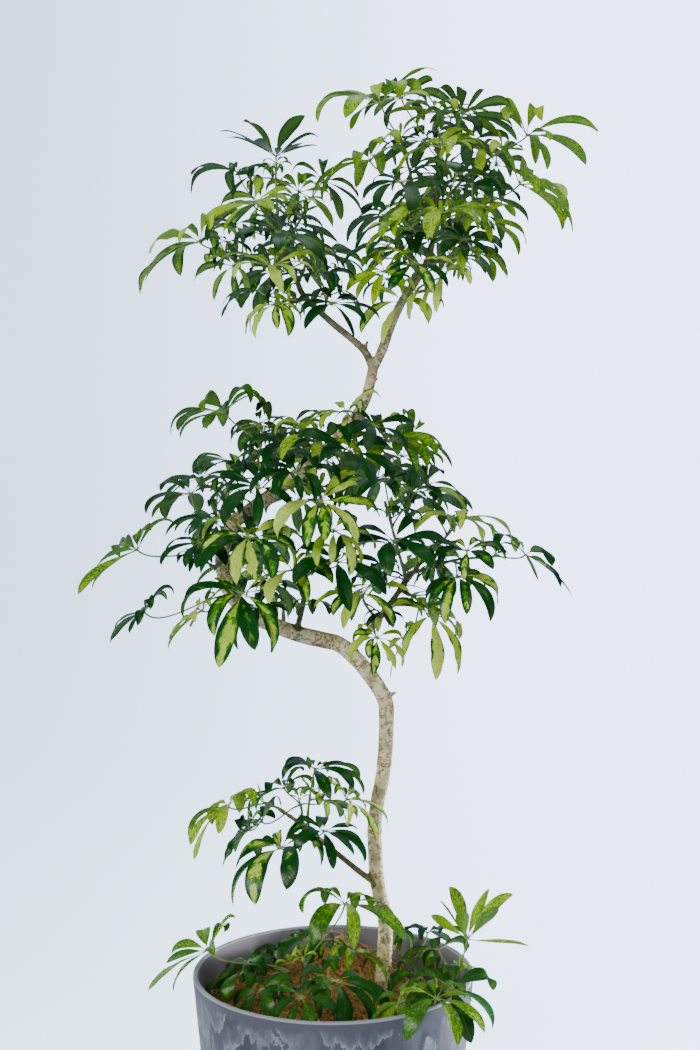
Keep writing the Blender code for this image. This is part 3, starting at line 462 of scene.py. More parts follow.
def bed_height(x, y):
    """The mulch's surface with the tufts that the fibres are teased into."""
    tufts = noise.fractal(Vector((x * 34, y * 34, 3.1)), 0.9, 2.0, 4)
    strands = noise.noise(Vector((x * 210, y * 90, 7.7))) + noise.noise(Vector((x * 80, y * 230, 1.3)))
    return mulch_height(x, y) + TUFT_HEIGHT * tufts + STRAND_HEIGHT * strands


def make_bed():
    """The mulch's body: a fine round bed with its side against the pot, closed underneath."""
    low = SOIL_TOP + GAP
    points, faces = [Vector((0, 0, bed_height(0, 0)))], []
    for ring in range(1, BED_RINGS + 1):
        for k in range(BED_SECTORS):
            angle = math.tau * k / BED_SECTORS
            x, y = (MULCH_RADIUS * ring / BED_RINGS * f(angle) for f in (math.cos, math.sin))
            points.append(Vector((x, y, bed_height(x, y))))
    points += [Vector((point.x, point.y, low)) for point in points[-BED_SECTORS:]]
    for k in range(BED_SECTORS):
        turn = (k + 1) % BED_SECTORS
        faces.append((0, 1 + k, 1 + turn))
        for ring in range(BED_RINGS):
            near, far = 1 + ring * BED_SECTORS, 1 + (ring + 1) * BED_SECTORS
            faces.append((near + k, far + k, far + turn, near + turn))
    faces.append(tuple(range(len(points) - 1, len(points) - BED_SECTORS - 1, -1)))
    return points, faces


def lay_fibre(shell, draw, x, y, length, rise, look):
    """A springy fibre that wanders over the bed and lifts off it in the middle of its length."""
    heading = draw.uniform(0, math.tau)
    bend = draw.uniform(-1, 1) * FIBRE_CURL / FIBRE_BENDS
    outer = MULCH_RADIUS - FIBRE_MARGIN
    points = []
    for step in range(FIBRE_BENDS + 1):
        share = step / FIBRE_BENDS
        reach = math.hypot(x, y)
        if reach > outer:
            x, y = x * outer / reach, y * outer / reach
        hump = math.sin(math.pi * share) * rise + draw.uniform(*FIBRE_UNEVEN)
        points.append(Vector((x, y, bed_height(x, y) + FIBRE_RADIUS * FIBRE_SUNK + hump)))
        heading += bend + draw.uniform(-FIBRE_WANDER, FIBRE_WANDER)
        x += math.cos(heading) * length / FIBRE_BENDS
        y += math.sin(heading) * length / FIBRE_BENDS
    thick = FIBRE_RADIUS * draw.uniform(*FIBRE_THICKNESS)
    add_tube(shell, points, [thick] * FIBRE_BENDS + [thick * FIBRE_TIP], 3, look)


def carried_look(tree):
    """The four values of the look that each point carries."""
    look = add(tree, "Attribute", {}, attribute_name="look").outputs
    return (*add(tree, "SeparateColor", {0: look["Color"]}).outputs, look["Alpha"])


def make_coir():
    """Coir: warm orange-brown fibres, paler and darker one by one, over a brown bed of bright strands with
    painted shade in the gaps between them.
    """
    made, tree, shader = new_material("coir")
    shade, on_bed, _, _ = carried_look(tree)
    place = own_place(tree)
    strands = noise_at(tree, stretched(tree, place, (1.0, 0.35, 1.0)), 620.0, 5.0, 0.75, 1.2)
    crossing = noise_at(tree, stretched(tree, place, (0.35, 1.0, 1.0)), 560.0, 5.0, 0.75, 1.4)
    weave = sum_up(tree, "MAXIMUM", strands, crossing)
    clumps = patches_at(tree, place, 38.0, 0.6, 0.45, 0.12)
    colour = blend_colours(tree, shade, paint(160, 92, 36), paint(255, 208, 124))
    # The bed's dark brown between the bright strands is painted shade of the gaps between fibres
    bed = blend_colours(tree, step_mask(tree, weave, 0.48, 0.66), paint(78, 45, 19), paint(236, 152, 74))
    colour = blend_colours(tree, on_bed, colour, bed)
    colour = blend_colours(tree, times(tree, clumps, 0.20), colour, paint(150, 92, 40))
    coat(tree, shader, colour, 0.85, weave, 0.9, 0.0015)
    return made


draw = random.Random("coir")
coir = Shell()
bed_points, bed_faces = make_bed()
coir.add_points(bed_points, BED_LOOK)
coir.add_faces(bed_faces)
for number in range(FIBRE_COUNT):
    reach = MULCH_RADIUS * math.sqrt(draw.random())
    turn = draw.uniform(0, math.tau)
    kind = LOOSE_FIBRES if number < LOOSE_COUNT else LAID_FIBRES
    rise, length, shade = (draw.uniform(*span) for span in kind)
    place = (reach * math.cos(turn), reach * math.sin(turn))
    lay_fibre(coir, draw, *place, length, rise, (shade, 0.0, 0.0, 1.0))
mulch = coir.finish("coir_bed", [make_coir()])
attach(mulch, "root")
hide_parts("coir_mulch")


# The wood is one bent trunk that forks into slimmer boughs. Its thin pale bark has ring-shaped scars where
# leaves once grew, small corky pores and greenish patches, and it is greener towards the young ends.

# The camera of the photograph, 700 x 1050 pixels, level and looking along +Y
VIEW_SIDE = 0.022
VIEW_DISTANCE = 1.677
VIEW_HEIGHT = 0.927
VIEW_CENTRE = (350, 525)
VIEW_FOCAL_PIXELS = 1266


def photo_point(right, down, behind):
    """The place that the photograph shows at a pixel, given its millimetres behind the pot's axis."""
    depth = behind / 1000
    reach = (VIEW_DISTANCE + depth) / VIEW_FOCAL_PIXELS
    return Vector((
        VIEW_SIDE + (right - VIEW_CENTRE[0]) * reach,
        depth,
        VIEW_HEIGHT - (down - VIEW_CENTRE[1]) * reach,
    ))


def with_radius(point, radius):
    """A place on a line: a point and the line's radius there."""
    return Vector((*point, radius))


def smooth_line(knots, spacing):
    """Places with radii, about spacing apart, on the smooth curve through the knots."""
    ends = [2 * knots[0] - knots[1], *knots, 2 * knots[-1] - knots[-2]]
    line = []
    for before, start, end, after in zip(ends, ends[1:], ends[2:], ends[3:]):
        steps = max(1, round((end.xyz - start.xyz).length / spacing))
        for step in range(steps):
            t = step / steps
            line.append(start + 0.5 * t * (
                (end - before)
                + t * (2 * before - 5 * start + 4 * end - after)
                + t * t * (3 * (start - end) + after - before)
            ))
    return [*line, knots[-1]]


def nearest_on(lines, point):
    """The nearest place, with its radius, to a point on any of the lines."""
    best = None
    for line in lines:
        for start, end in zip(line, line[1:]):
            along = end.xyz - start.xyz
            share = (point - start.xyz).dot(along) / along.length_squared
            place = start.lerp(end, min(1, max(0, share)))
            if best is None or (place.xyz - point).length < (best.xyz - point).length:
                best = place
    return best


WOOD_SPACING = 0.032
# Each limb's route: pixels right and down, millimetres behind the axis, and the radius in millimetres
WOOD_ROUTES = {
    "trunk": (
        (382, 1003, 30, 11.5), (384, 960, 28, 10.4), (385, 920, 25, 10), (377, 880, 20, 10),
        (375, 820, 12, 9.8), (382, 780, 6, 9.8), (386, 740, 0, 10), (384, 698, -6, 10.4),
        (366, 670, -12, 10.4), (342, 646, -16, 10.8), (302, 635, -20, 10.8), (258, 618, -26, 10),
        (233, 597, -30, 9.6), (222, 562, -30, 9.4), (230, 528, -26, 9.4), (268, 497, -14, 9.2),
        (311, 463, -2, 8.4), (345, 430, 6, 7.8), (365, 400, 10, 7.4), (374, 364, 10, 7.2),
    ),
    "right_bough": (
        (372, 372, 10, 6.4), (383, 348, 10, 6.8), (391, 325, 8, 6.5), (403, 300, 4, 6), (420, 275, 0, 5),
        (431, 250, 0, 4.2), (436, 206, 0, 3.4),
    ),
    "left_bough": (
        (373, 370, 10, 5.6), (366, 353, 6, 5.4), (352, 339, 2, 5), (330, 321, 0, 4.6), (305, 297, 0, 4.2),
        (290, 264, 0, 3.6), (278, 239, 0, 3.1),
    ),
    "middle_right_bough": (
        (350, 651, -14, 5), (374, 625, -4, 4.6), (400, 590, 0, 3.8), (418, 566, 0, 3.2),
    ),
    "middle_rising_bough": (
        (296, 634, -20, 4), (304, 598, -22, 3.8), (306, 567, -22, 3.4), (311, 532, -22, 3),
        (318, 506, -22, 2.8),
    ),
    "lower_bough": (
        (374, 882, 20, 4.4), (360, 872, 14, 4.2), (328, 846, 4, 3.6), (298, 822, 0, 3), (288, 815, -2, 2.8),
    ),
}
# Small dead snags on the wood: where each starts and ends
SNAGS = (
    ((366, 350, 7), (367, 341, 1)),
    ((370, 380, 10), (378, 379, 4)),
    ((384, 699, -6), (396, 692, -12)),
)
SNAG_RADIUS = 0.0022
COLLAR_LENGTH = 0.006
STEM_RADIUS = 0.0026
STEM_TIP_RADIUS = 0.0018
STEM_STRAIGHT = 0.006
STEM_SPACING = 0.030


def limb_line(route):
    """The smooth line of a limb of the wood."""
    knots = [with_radius(photo_point(*place), radius / 1000) for *place, radius in route]
    return smooth_line(knots, WOOD_SPACING)


def stem_seat(route, lines):
    """The collar's line on the wood, and the stem's own line, which starts a gap beyond the collar."""
    seat = nearest_on(lines, photo_point(*route[0]))
    heading = (photo_point(*route[1]) - seat.xyz).normalized()
    collar_end = seat.xyz + heading * (seat.w + COLLAR_LENGTH)
    collar = [with_radius(seat.xyz, STEM_RADIUS), with_radius(collar_end, STEM_RADIUS)]
    foot = collar_end + heading * GAP
    knots = [with_radius(foot + heading * STEM_STRAIGHT, STEM_RADIUS)]
    knots += [with_radius(photo_point(*place), STEM_TIP_RADIUS) for place in route[1:]]
    return collar, [with_radius(foot, STEM_RADIUS), *smooth_line(knots, STEM_SPACING)]


TRUNK_FOOT = 0.160
BARK_SPACING = 0.003
BARK_VOXEL = 0.0014
BARK_CORNERS = 20
SMOOTHING, SMOOTHING_ROUNDS = 0.6, 6
LONGEST_LIMB = 2.0
# A limb is all green at one radius, and has no green at a larger one
GREEN_RADIUS, OLD_RADIUS = 0.0040, 0.0076
RING_SPACINGS = (0.013, 0.042)
RING_TILT = 0.35
RING_WEIGHTS = (0.3, 1)
RING_HEIGHT = 0.00060
RING_WIDTH = 0.0011
RING_WANDER = 0.0022
RING_REACH = 1.35
# A ring is faint on one side of its limb; an old scar stands out more at the front than at the back
RING_FAINT = 0.35
SCAR_WEIGHTS = (0.75, 1.35)
# How far apart the patterns of two limbs lie, so that they don't match
LIMB_SHIFT = 0.37
LUMP_HEIGHT, LUMPY_RADIUS = 0.00042, 0.009
GRAIN_HEIGHT = 0.00008
# Old leaf scars that stand out on the lower trunk, as places on it in the photograph
TRUNK_SCARS = ((383, 697, -6), (383, 763, 3), (376, 830, 14), (378, 905, 24))
SCAR_HALF_WIDTH = 0.0016


def limb_youth(radius):
    """How young and green a limb is, by its thickness."""
    return min(1.0, max(0.0, (OLD_RADIUS - radius) / (OLD_RADIUS - GREEN_RADIUS)))


def make_limb_samples(lines):
    """Along each limb: place, heading, spoke, distance from its start, radius, and its ring scars."""
    samples = []
    for number, line in enumerate(lines):
        draw = random.Random(f"rings {number}")
        way = (line[1].xyz - line[0].xyz).normalized()
        spoke = way.orthogonal().normalized()
        along = 0.0
        rings = []
        place = draw.uniform(*RING_SPACINGS)
        while place < LONGEST_LIMB:
            tilt = draw.uniform(-RING_TILT, RING_TILT)
            rings.append((place, tilt, draw.uniform(0, math.tau), draw.uniform(*RING_WEIGHTS)))
            place += draw.uniform(*RING_SPACINGS)
        for i, here in enumerate(line):
            way = (line[min(len(line) - 1, i + 1)].xyz - line[max(0, i - 1)].xyz).normalized()
            spoke = (spoke - way * spoke.dot(way)).normalized()
            along += (here.xyz - line[i - 1].xyz).length if i else 0.0
            samples.append((here.xyz, way, spoke, along, here.w, rings, number))
    return samples


def grow_bark(lines, extra):
    """Fuses the limbs into one smooth skin, then gives it lumps, ring scars and a fine grain."""
    shell = Shell()
    for line in (*lines, *extra):
        points, radii = [place.xyz for place in line], [place.w for place in line]
        add_tube(shell, points, radii, BARK_CORNERS, (0.0, 0.0, 0.0, 1.0))
    wood = shell.finish("bark_skin", [])
    skin = wood.modifiers.new("skin", "REMESH")
    skin.mode = "VOXEL"
    skin.voxel_size = BARK_VOXEL
    soften = wood.modifiers.new("soften", "SMOOTH")
    soften.factor = SMOOTHING
    soften.iterations = SMOOTHING_ROUNDS
    graph = bpy.context.evaluated_depsgraph_get()
    mesh = bpy.data.meshes.new_from_object(wood.evaluated_get(graph), depsgraph=graph)
    wood.modifiers.clear()
    wood.data = mesh
    samples = make_limb_samples(lines)
    tree = kdtree.KDTree(len(samples))
    for i, sample in enumerate(samples):
        tree.insert(sample[0], i)
    tree.balance()
    scars = [photo_point(*scar) for scar in TRUNK_SCARS]
    straight, looks, moved = [], [], []
    for vertex in mesh.vertices:
        point, outward = vertex.co, vertex.normal
        _, found, _ = tree.find(point)
        centre, way, spoke, along, radius, rings, number = samples[found]
        offset = point - centre
        across, back = offset.dot(spoke), offset.dot(way.cross(spoke))
        ahead = along + offset.dot(way)
        angle = math.atan2(back, across)
        straight.append((across + number * LIMB_SHIFT, back, ahead))
        ring, wander = 0.0, RING_WANDER * noise.noise(Vector((across * 160 + number, back * 160, 5.0)))
        for place, tilt, turn, weight in rings:
            apart = ahead - place - tilt * radius * math.cos(angle - turn) + wander
            if abs(apart) < 4 * RING_WIDTH:
                fade = RING_FAINT + (1 - RING_FAINT) * max(0.0, math.sin(2 * angle + turn))
                ring = max(ring, weight * fade * math.exp(-(apart / RING_WIDTH) ** 2))
        if number == 0:
            for scar in scars:
                apart = (point - scar).dot(way) + wander
                if abs(apart) < 4 * RING_WIDTH:
                    facing = 0.5 - 0.5 * math.sin(angle)
                    from_edge = (abs(apart) - SCAR_HALF_WIDTH) / RING_WIDTH
                    weight = SCAR_WEIGHTS[0] + (SCAR_WEIGHTS[1] - SCAR_WEIGHTS[0]) * facing
                    ring = max(ring, weight * math.exp(-from_edge**2))
        if math.hypot(across, back) > radius * RING_REACH:
            ring = 0.0
        lumps = noise.fractal(Vector((across * 90 + number, back * 90, ahead * 34)), 1.0, 2.0, 3)
        fine = noise.noise(Vector((across * 420, back * 420, ahead * 260 + number)))
        lift = RING_HEIGHT * ring + GRAIN_HEIGHT * fine
        lift += LUMP_HEIGHT * lumps * min(1.0, radius / LUMPY_RADIUS)
        moved.append(point + outward * lift)
        looks.append((limb_youth(radius), min(1.0, ring), 0.0, 1.0))
    for vertex, place in zip(mesh.vertices, moved):
        vertex.co = place
    for name, kind, values, key in (
        ("straight", "FLOAT_VECTOR", straight, "vector"), ("look", "FLOAT_COLOR", looks, "color"),
    ):
        layer = mesh.attributes.new(name, kind, "POINT")
        layer.data.foreach_set(key, np.array(values, np.float32).ravel())
    mesh.shade_smooth()
    return wood


def make_bark():
    """Bark: cream and tan with grey-green patches, orange-brown ring scars and small brown pores."""
    made, tree, shader = new_material("bark")
    straight = add(tree, "Attribute", {}, attribute_name="straight").outputs["Vector"]
    youth, ring, _, _ = carried_look(tree)
    tan = patches_at(tree, straight, 55.0, 0.4, 0.45, 0.14)
    green = patches_at(tree, straight, 105.0, 1.1, 0.46, 0.06)
    broad = patches_at(tree, straight, 16.0, 0.3, 0.52, 0.12)
    flecks = use_effect(tree, speckle, {"Vector": straight, "Scale": 300.0})["Mask"]
    colour = blend_colours(tree, tan, paint(236, 222, 174), paint(190, 164, 112))
    colour = blend_colours(tree, times(tree, flecks, 0.55), colour, paint(122, 106, 66))
    patches = times(tree, green, times(tree, broad, 0.52, 0.34))
    colour = blend_colours(tree, patches, colour, paint(82, 88, 46))
    young = blend_colours(tree, green, paint(98, 98, 52), paint(62, 72, 34))
    colour = blend_colours(tree, youth, colour, young)
    flat = stretched(tree, straight, (1.0, 1.0, 1.9))
    pores = add(tree, "TexVoronoi", {"Vector": flat, "Scale": 170.0, "Randomness": 1.0}).outputs["Distance"]
    often = noise_at(tree, straight, 60.0, 2.0, 0.5)
    size = times(tree, often, 1.0, -0.24)
    pore = step_mask(tree, sum_up(tree, "SUBTRACT", size, pores), -0.03, 0.06)
    colour = blend_colours(tree, times(tree, pore, 0.8), colour, paint(140, 84, 46))
    broken = step_mask(tree, noise_at(tree, straight, 150.0, 3.0, 0.6), 0.38, 0.56)
    ragged = times(tree, ring, times(tree, broken, 0.58, 0.42))
    scar = times(tree, step_mask(tree, ragged, 0.22, 0.70), 0.85)
    colour = blend_colours(tree, scar, colour, paint(142, 82, 40))
    grain = use_effect(tree, speckle, {"Vector": straight, "Scale": 700.0})["Height"]
    coat(tree, shader, colour, 0.72, times(tree, pore, 1.2, grain), 0.55, 0.0005)
    return made


# Green stems: the kinds of their leaves, a route from the wood, then the leaves, each with its hub, blade
# length in millimetres, number of blades and, where it isn't the usual, how far the blades droop, from 0
# for upright to 1 for hanging, and how much more steeply than usual they set out
LEAFY_STEMS = {
    "left_crown_leader": ("dmm", ((278, 238, 0), (277, 205, -5), (276, 180, -10)), (
        (276, 156, -10, 72, 6, 0.2), (253, 204, -50, 72, 6), (300, 192, 40, 62, 5),
    )),
    "left_crown_outer": ("pdh", ((284, 252, 0), (255, 256, -20), (230, 256, -30)), (
        (200, 242, -30, 92, 6), (246, 224, -60, 67, 6), (232, 262, 20, 60, 5),
    )),
    "left_crown_front": ("pd", ((290, 263, 0), (284, 262, -35), (278, 260, -60)), (
        (272, 266, -95, 77, 7, 0.55), (280, 234, -90, 72, 6),
    )),
    "left_crown_inner": ("dh", ((281, 245, 0), (294, 230, 8), (302, 217, 14)), (
        (322, 184, 10, 67, 6), (308, 241, -40, 67, 6),
    )),
    "left_crown_under": ("pd", ((306, 298, 0), (300, 301, -22), (292, 303, -36)), (
        (281, 311, -50, 60, 5, 0.9, -0.2), (258, 292, -30, 60, 5),
    )),
    "left_crown_elbow": ("dd", ((322, 313, 0), (326, 304, -28), (326, 298, -40)), (
        (333, 303, -70, 67, 6), (316, 277, -55, 62, 6),
    )),
    "left_crown_back": ("dhd", ((287, 257, 0), (280, 240, 40), (268, 222, 75)), (
        (238, 172, 60, 74, 6), (262, 202, 120, 74, 6), (292, 222, 120, 67, 6),
    )),
    "left_crown_back_low": ("ddd", ((298, 283, 0), (303, 272, 40), (306, 262, 80)), (
        (326, 254, 90, 67, 6), (298, 248, 135, 72, 6), (275, 272, 100, 67, 5),
    )),
    "right_crown_leader": ("mmdd", ((436, 205, 0), (438, 175, 0), (440, 150, 5)), (
        (439, 147, -40, 74, 6), (437, 112, 0, 67, 6, 0.45), (463, 114, 10, 74, 6, 0.4),
        (412, 96, 40, 64, 5),
    )),
    "right_crown_top": ("m", ((434, 221, 0), (416, 192, -4), (402, 142, -24)), (
        (381, 104, -60, 94, 7, 0.6, 0.3),
    )),
    "right_crown_left": ("mdh", ((433, 228, 0), (415, 198, -30), (402, 184, -40)), (
        (370, 161, -45, 82, 6), (402, 182, -85, 72, 6), (386, 219, -50, 62, 5),
    )),
    "right_crown_far": ("mmd", ((434, 237, 0), (460, 222, -15), (476, 212, -25)), (
        (519, 191, -30, 96, 7, 0.6, 0.15), (484, 222, -50, 77, 6), (472, 184, -60, 67, 5),
    )),
    "right_crown_high": ("mmd", ((436, 213, 0), (470, 172, 10), (500, 152, 20)), (
        (527, 135, 20, 92, 6, 0.6, 0.25), (484, 150, -25, 67, 5), (496, 166, 65, 67, 5),
    )),
    "right_crown_front": ("mdm", ((433, 247, 0), (437, 232, -40), (440, 222, -65)), (
        (440, 213, -105, 84, 7), (457, 176, -80, 67, 6), (415, 232, -90, 67, 5),
    )),
    "right_crown_low_left": ("dhm", ((424, 268, 0), (408, 258, -30), (400, 250, -45)), (
        (391, 244, -75, 67, 6), (414, 262, -100, 60, 5), (385, 272, -70, 60, 5, 0.7),
    )),
    "right_crown_fork": ("p", ((413, 286, 2), (412, 291, -22), (411, 293, -30)), (
        (410, 296, -50, 67, 7, 0.85, -0.1),
    )),
    "right_crown_low": ("pmd", ((428, 262, 0), (448, 262, -20), (458, 259, -30)), (
        (442, 281, -55, 67, 6, 0.85), (474, 254, -50, 60, 5, 0.8), (464, 240, -80, 60, 5),
    )),
    "right_crown_back_high": ("ddm", ((436, 209, 0), (440, 185, 50), (446, 168, 85)), (
        (425, 140, 95, 72, 6), (466, 142, 110, 72, 6), (452, 118, 80, 67, 5),
    )),
    "right_crown_back": ("dd", ((434, 232, 0), (446, 216, 50), (455, 206, 90)), (
        (484, 196, 105, 72, 6), (450, 186, 145, 72, 6),
    )),
    "right_crown_back_low": ("dhd", ((429, 257, 0), (420, 242, 50), (410, 232, 90)), (
        (388, 214, 100, 72, 6), (420, 206, 145, 72, 6), (400, 250, 100, 67, 5),
    )),
    "right_crown_back_under": ("dd", ((426, 264, 0), (438, 262, 50), (448, 256, 85)), (
        (468, 246, 100, 67, 6), (437, 240, 145, 67, 5),
    )),
    "middle_left_high": ("gdh", ((258, 504, -18), (257, 470, -22), (262, 438, -22)), (
        (225, 412, -25, 90, 6, 0.6, 0.15), (243, 472, -55, 67, 6), (274, 430, 35, 67, 5),
    )),
    "middle_left_arm": ("gdd", ((223, 572, -30), (212, 566, -34), (198, 556, -36)), (
        (137, 549, -35, 84, 5, 0.45), (193, 496, -30, 67, 6), (205, 540, -75, 62, 5),
    )),
    "middle_left_under": ("dph", ((236, 600, -30), (230, 594, -60), (228, 588, -75)), (
        (143, 610, -40, 60, 5, 0.6), (210, 615, -80, 60, 5, 0.6), (241, 592, -110, 93, 5, 0.9, -0.2),
    )),
    "middle_left_front": ("hd", ((226, 541, -28), (236, 540, -60), (242, 540, -76)), (
        (249, 537, -108, 79, 7, 0.85), (220, 518, -80, 67, 5),
    )),
    "middle_centre_left": ("dd", ((284, 485, -8), (281, 478, -40), (277, 472, -60)), (
        (258, 488, -90, 67, 6), (287, 452, -78, 72, 6),
    )),
    "middle_centre_top": ("md", ((311, 463, -2), (313, 455, -30), (312, 448, -45)), (
        (317, 438, -68, 77, 6), (294, 424, 0, 62, 5),
    )),
    "middle_trunk_top": ("pdd", ((350, 424, 8), (356, 424, -20), (361, 425, -34)), (
        (347, 412, -50, 60, 5, 0.55), (371, 430, -65, 62, 5), (342, 456, -85, 72, 6),
    )),
    "middle_rising_tip": ("pdp", ((318, 506, -22), (320, 497, -50), (320, 492, -70)), (
        (320, 501, -118, 77, 7), (300, 476, -105, 67, 6), (336, 536, -105, 64, 5, 0.85),
    )),
    "middle_rising_side": ("pd", ((306, 576, -22), (312, 572, -50), (316, 570, -66)), (
        (292, 570, -100, 67, 6), (338, 562, -108, 77, 6),
    )),
    "middle_thin": ("hd", ((284, 629, -22), (283, 607, -40), (279, 588, -48)), (
        (270, 564, -52, 67, 6), (258, 602, -70, 62, 5, 0.9, -0.2),
    )),
    "middle_trunk_right": ("gm", ((356, 416, 9), (374, 424, 12), (387, 440, 8)), (
        (391, 441, -30, 77, 6), (412, 434, 30, 67, 6),
    )),
    "middle_right_centre": ("ddh", ((407, 581, 0), (398, 550, -30), (390, 520, -45)), (
        (393, 540, -88, 72, 6), (385, 482, -62, 77, 6), (413, 492, -30, 72, 6),
    )),
    "middle_right_upper": ("pd", ((418, 566, 0), (438, 546, -8), (450, 532, -12)), (
        (454, 518, -20, 84, 6), (430, 500, 30, 67, 5),
    )),
    "middle_right_far": ("hhh", ((413, 573, 0), (455, 560, -26), (490, 557, -32)), (
        (526, 555, -35, 74, 5, 0.6), (466, 550, -60, 62, 5), (458, 578, -60, 74, 6, 0.85, -0.1),
    )),
    "middle_right_low": ("pp", ((400, 590, 0), (414, 597, -18), (423, 605, -24)), (
        (431, 616, -48, 79, 6, 0.9, -0.2), (404, 636, -20, 60, 5, 0.9, -0.2),
    )),
    "middle_right_inner": ("pp", ((378, 620, -3), (370, 611, -34), (365, 604, -48)), (
        (361, 592, -80, 67, 6), (376, 636, -60, 56, 5, 0.9, -0.2),
    )),
    "middle_back_left": ("dhd", ((240, 519, -22), (226, 504, 40), (216, 492, 80)), (
        (200, 478, 90, 72, 6), (234, 460, 120, 72, 6), (215, 522, 130, 67, 5),
    )),
    "middle_back_centre": ("dhd", ((294, 477, -6), (301, 466, 50), (306, 456, 85)), (
        (282, 446, 120, 72, 6), (322, 466, 145, 72, 6), (300, 500, 140, 67, 5),
    )),
    "middle_back_right": ("ghd", ((359, 411, 10), (376, 440, 55), (388, 458, 85)), (
        (402, 456, 110, 72, 6), (372, 478, 150, 72, 6), (428, 484, 100, 72, 6),
    )),
    "middle_back_low_left": ("dhd", ((230, 590, -30), (246, 580, 30), (256, 572, 70)), (
        (238, 560, 110, 72, 6), (272, 585, 110, 67, 5), (262, 536, 140, 72, 6),
    )),
    "middle_back_low_right": ("hdd", ((394, 598, -2), (404, 580, 45), (410, 572, 80)), (
        (434, 562, 115, 72, 6), (396, 546, 140, 72, 6), (372, 585, 110, 67, 5),
    )),
    "lower_rising": ("dp", ((308, 830, 1), (308, 812, -16), (310, 796, -24)), (
        (315, 769, -28, 67, 6), (347, 799, -30, 67, 6),
    )),
    "lower_outer": ("md", ((288, 815, -2), (278, 808, -10), (266, 803, -16)), (
        (228, 806, -30, 79, 6, 0.85), (250, 830, -10, 60, 5),
    )),
    "lower_front": ("dh", ((322, 841, 3), (314, 838, -30), (306, 840, -42)), (
        (324, 831, -65, 62, 6), (281, 848, -70, 84, 7, 0.85),
    )),
    "lower_back": ("dhd", ((300, 824, 0), (302, 812, 40), (300, 803, 65)), (
        (284, 788, 80, 67, 6), (322, 800, 95, 62, 6), (262, 822, 70, 62, 5),
    )),
}


lines = {name: limb_line(route) for name, route in WOOD_ROUTES.items()}
snags = [[with_radius(photo_point(*place), SNAG_RADIUS) for place in snag] for snag in SNAGS]
seats = {name: stem_seat(route, lines.values()) for name, (_, route, _) in LEAFY_STEMS.items()}
collars = [collar for collar, _ in seats.values()]
fine_limbs = [smooth_line(line, BARK_SPACING) for line in lines.values()]
trunk_foot = lines["trunk"][0]
fine_limbs[0].insert(0, with_radius(Vector((*trunk_foot.xy, TRUNK_FOOT)), trunk_foot.w))
wood = grow_bark(fine_limbs, [*collars, *snags])
wood.name = "bark_and_boughs"
wood.data.materials.append(make_bark())
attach(wood, "root")
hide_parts("trunk")


# Each leafy stem is a green shoot with umbrella leaves: a long thin stalk, and round its end seven to nine
# leaflets on little stalks of their own. Every leaf keeps clear of those of the other stems.

# Sprouts round the trunk's foot, rooted in the soil, told like the green stems: the route starts at the mulch
SPROUTS = {
    "sprout_left": ("gfff", ((292, 1003, 20), (292, 985, 14), (290, 968, 4)), (
        (208, 950, -20, 77, 6, 0.35), (248, 962, 30, 66, 6, 0.8), (262, 990, -50, 58, 5, 0.85),
        (238, 980, -10, 56, 5, 0.8),
    )),
    "sprout_centre": ("gfgf", ((314, 1003, 18), (308, 982, 4), (304, 962, -6)), (
        (345, 904, -45, 82, 7, 0.75), (324, 976, -50, 79, 6, 0.9), (348, 952, 20, 62, 5, 0.8),
        (300, 1000, -95, 58, 5, 0.85),
    )),
    "sprout_back": ("fd", ((322, 988, 80), (318, 972, 78), (314, 960, 76)), (
        (308, 940, 60, 62, 6, 0.8), (278, 950, 95, 62, 5, 0.8),
    )),
    "sprout_right": ("mf", ((447, 1010, 0), (453, 992, 0), (459, 975, -4)), (
        (467, 939, -10, 77, 6, 0), (436, 960, 40, 60, 5),
    )),
    "sprout_right_front": ("gfg", ((424, 1025, -50), (430, 1008, -62), (437, 998, -74)), (
        (447, 1008, -140, 67, 6, 0.8), (457, 986, -105, 74, 6, 0.7), (403, 1000, -100, 62, 5, 0.8),
    )),
    "sprout_right_back": ("fdf", ((414, 985, 75), (413, 972, 70), (412, 964, 62)), (
        (400, 952, 50, 62, 5, 0.8), (430, 946, 85, 62, 5), (420, 976, 20, 62, 6, 0.8),
    )),
}
HOLE_DEPTH = 0.035
SPROUT_STRAIGHT = 0.012
POT_SIDES = 32
MULCH_SECTORS = 20
MULCH_RINGS = 5
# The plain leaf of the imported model, whose places the fine leaves take
HUB_RADIUS = 0.0030
HUB_HEIGHT = 0.0022
HUB_NECK = 0.0045
PETIOLE_RADIUS = 0.0011
PETIOLE_FOOT_RADIUS = 0.0013
PETIOLE_SHORT = 0.035
PETIOLE_LONG = 0.080
BLADE_STEPS = 12
BLADE_WIDEST_STEP = 7
BLADE_WIDTHS = (0.22, 0.29)
KITE_SWELL = 1.15
BLADE_KEEL = 0.0017
BLADE_RISES = (0.20, 0.55)
# How far a blade bends down to its tip, and how much steeper than the rises it sets out, where unstated
USUAL_BEND = (0.62, 0.0)
DROOP_SPREAD = 0.12
UPRIGHT_DROOP = 0.35
UPRIGHT_RISE = 1.6
BLADE_TWIST = 0.35
# The shares of its length from which a blade hooks over, and round which it sways
HOOK_STARTS = 0.55
SWAY_PIVOT = 0.3
# How far a leaf faces up, along its stalk and outward, and how far its axis wanders
FACES_UP = 0.80
FACES_STALK = 0.40
FACES_OUT = 0.15
AXIS_STRAY = 0.12
LATER_AXIS_STRAY = 0.30
UNEVEN_TURN = 0.15
LONGER_OUTSIDE = 0.14
LENGTH_SPREAD = 0.10
# The stalk's curve: how steeply and how far it sets out, and how far below the hub it turns in
STALK_SETS_OUT = 0.35
STALK_LIFT = 0.30
STALK_TURNS_IN = 0.30
STALK_FROM_BELOW = 0.6
UNDERSIDE_TAPER = 0.9
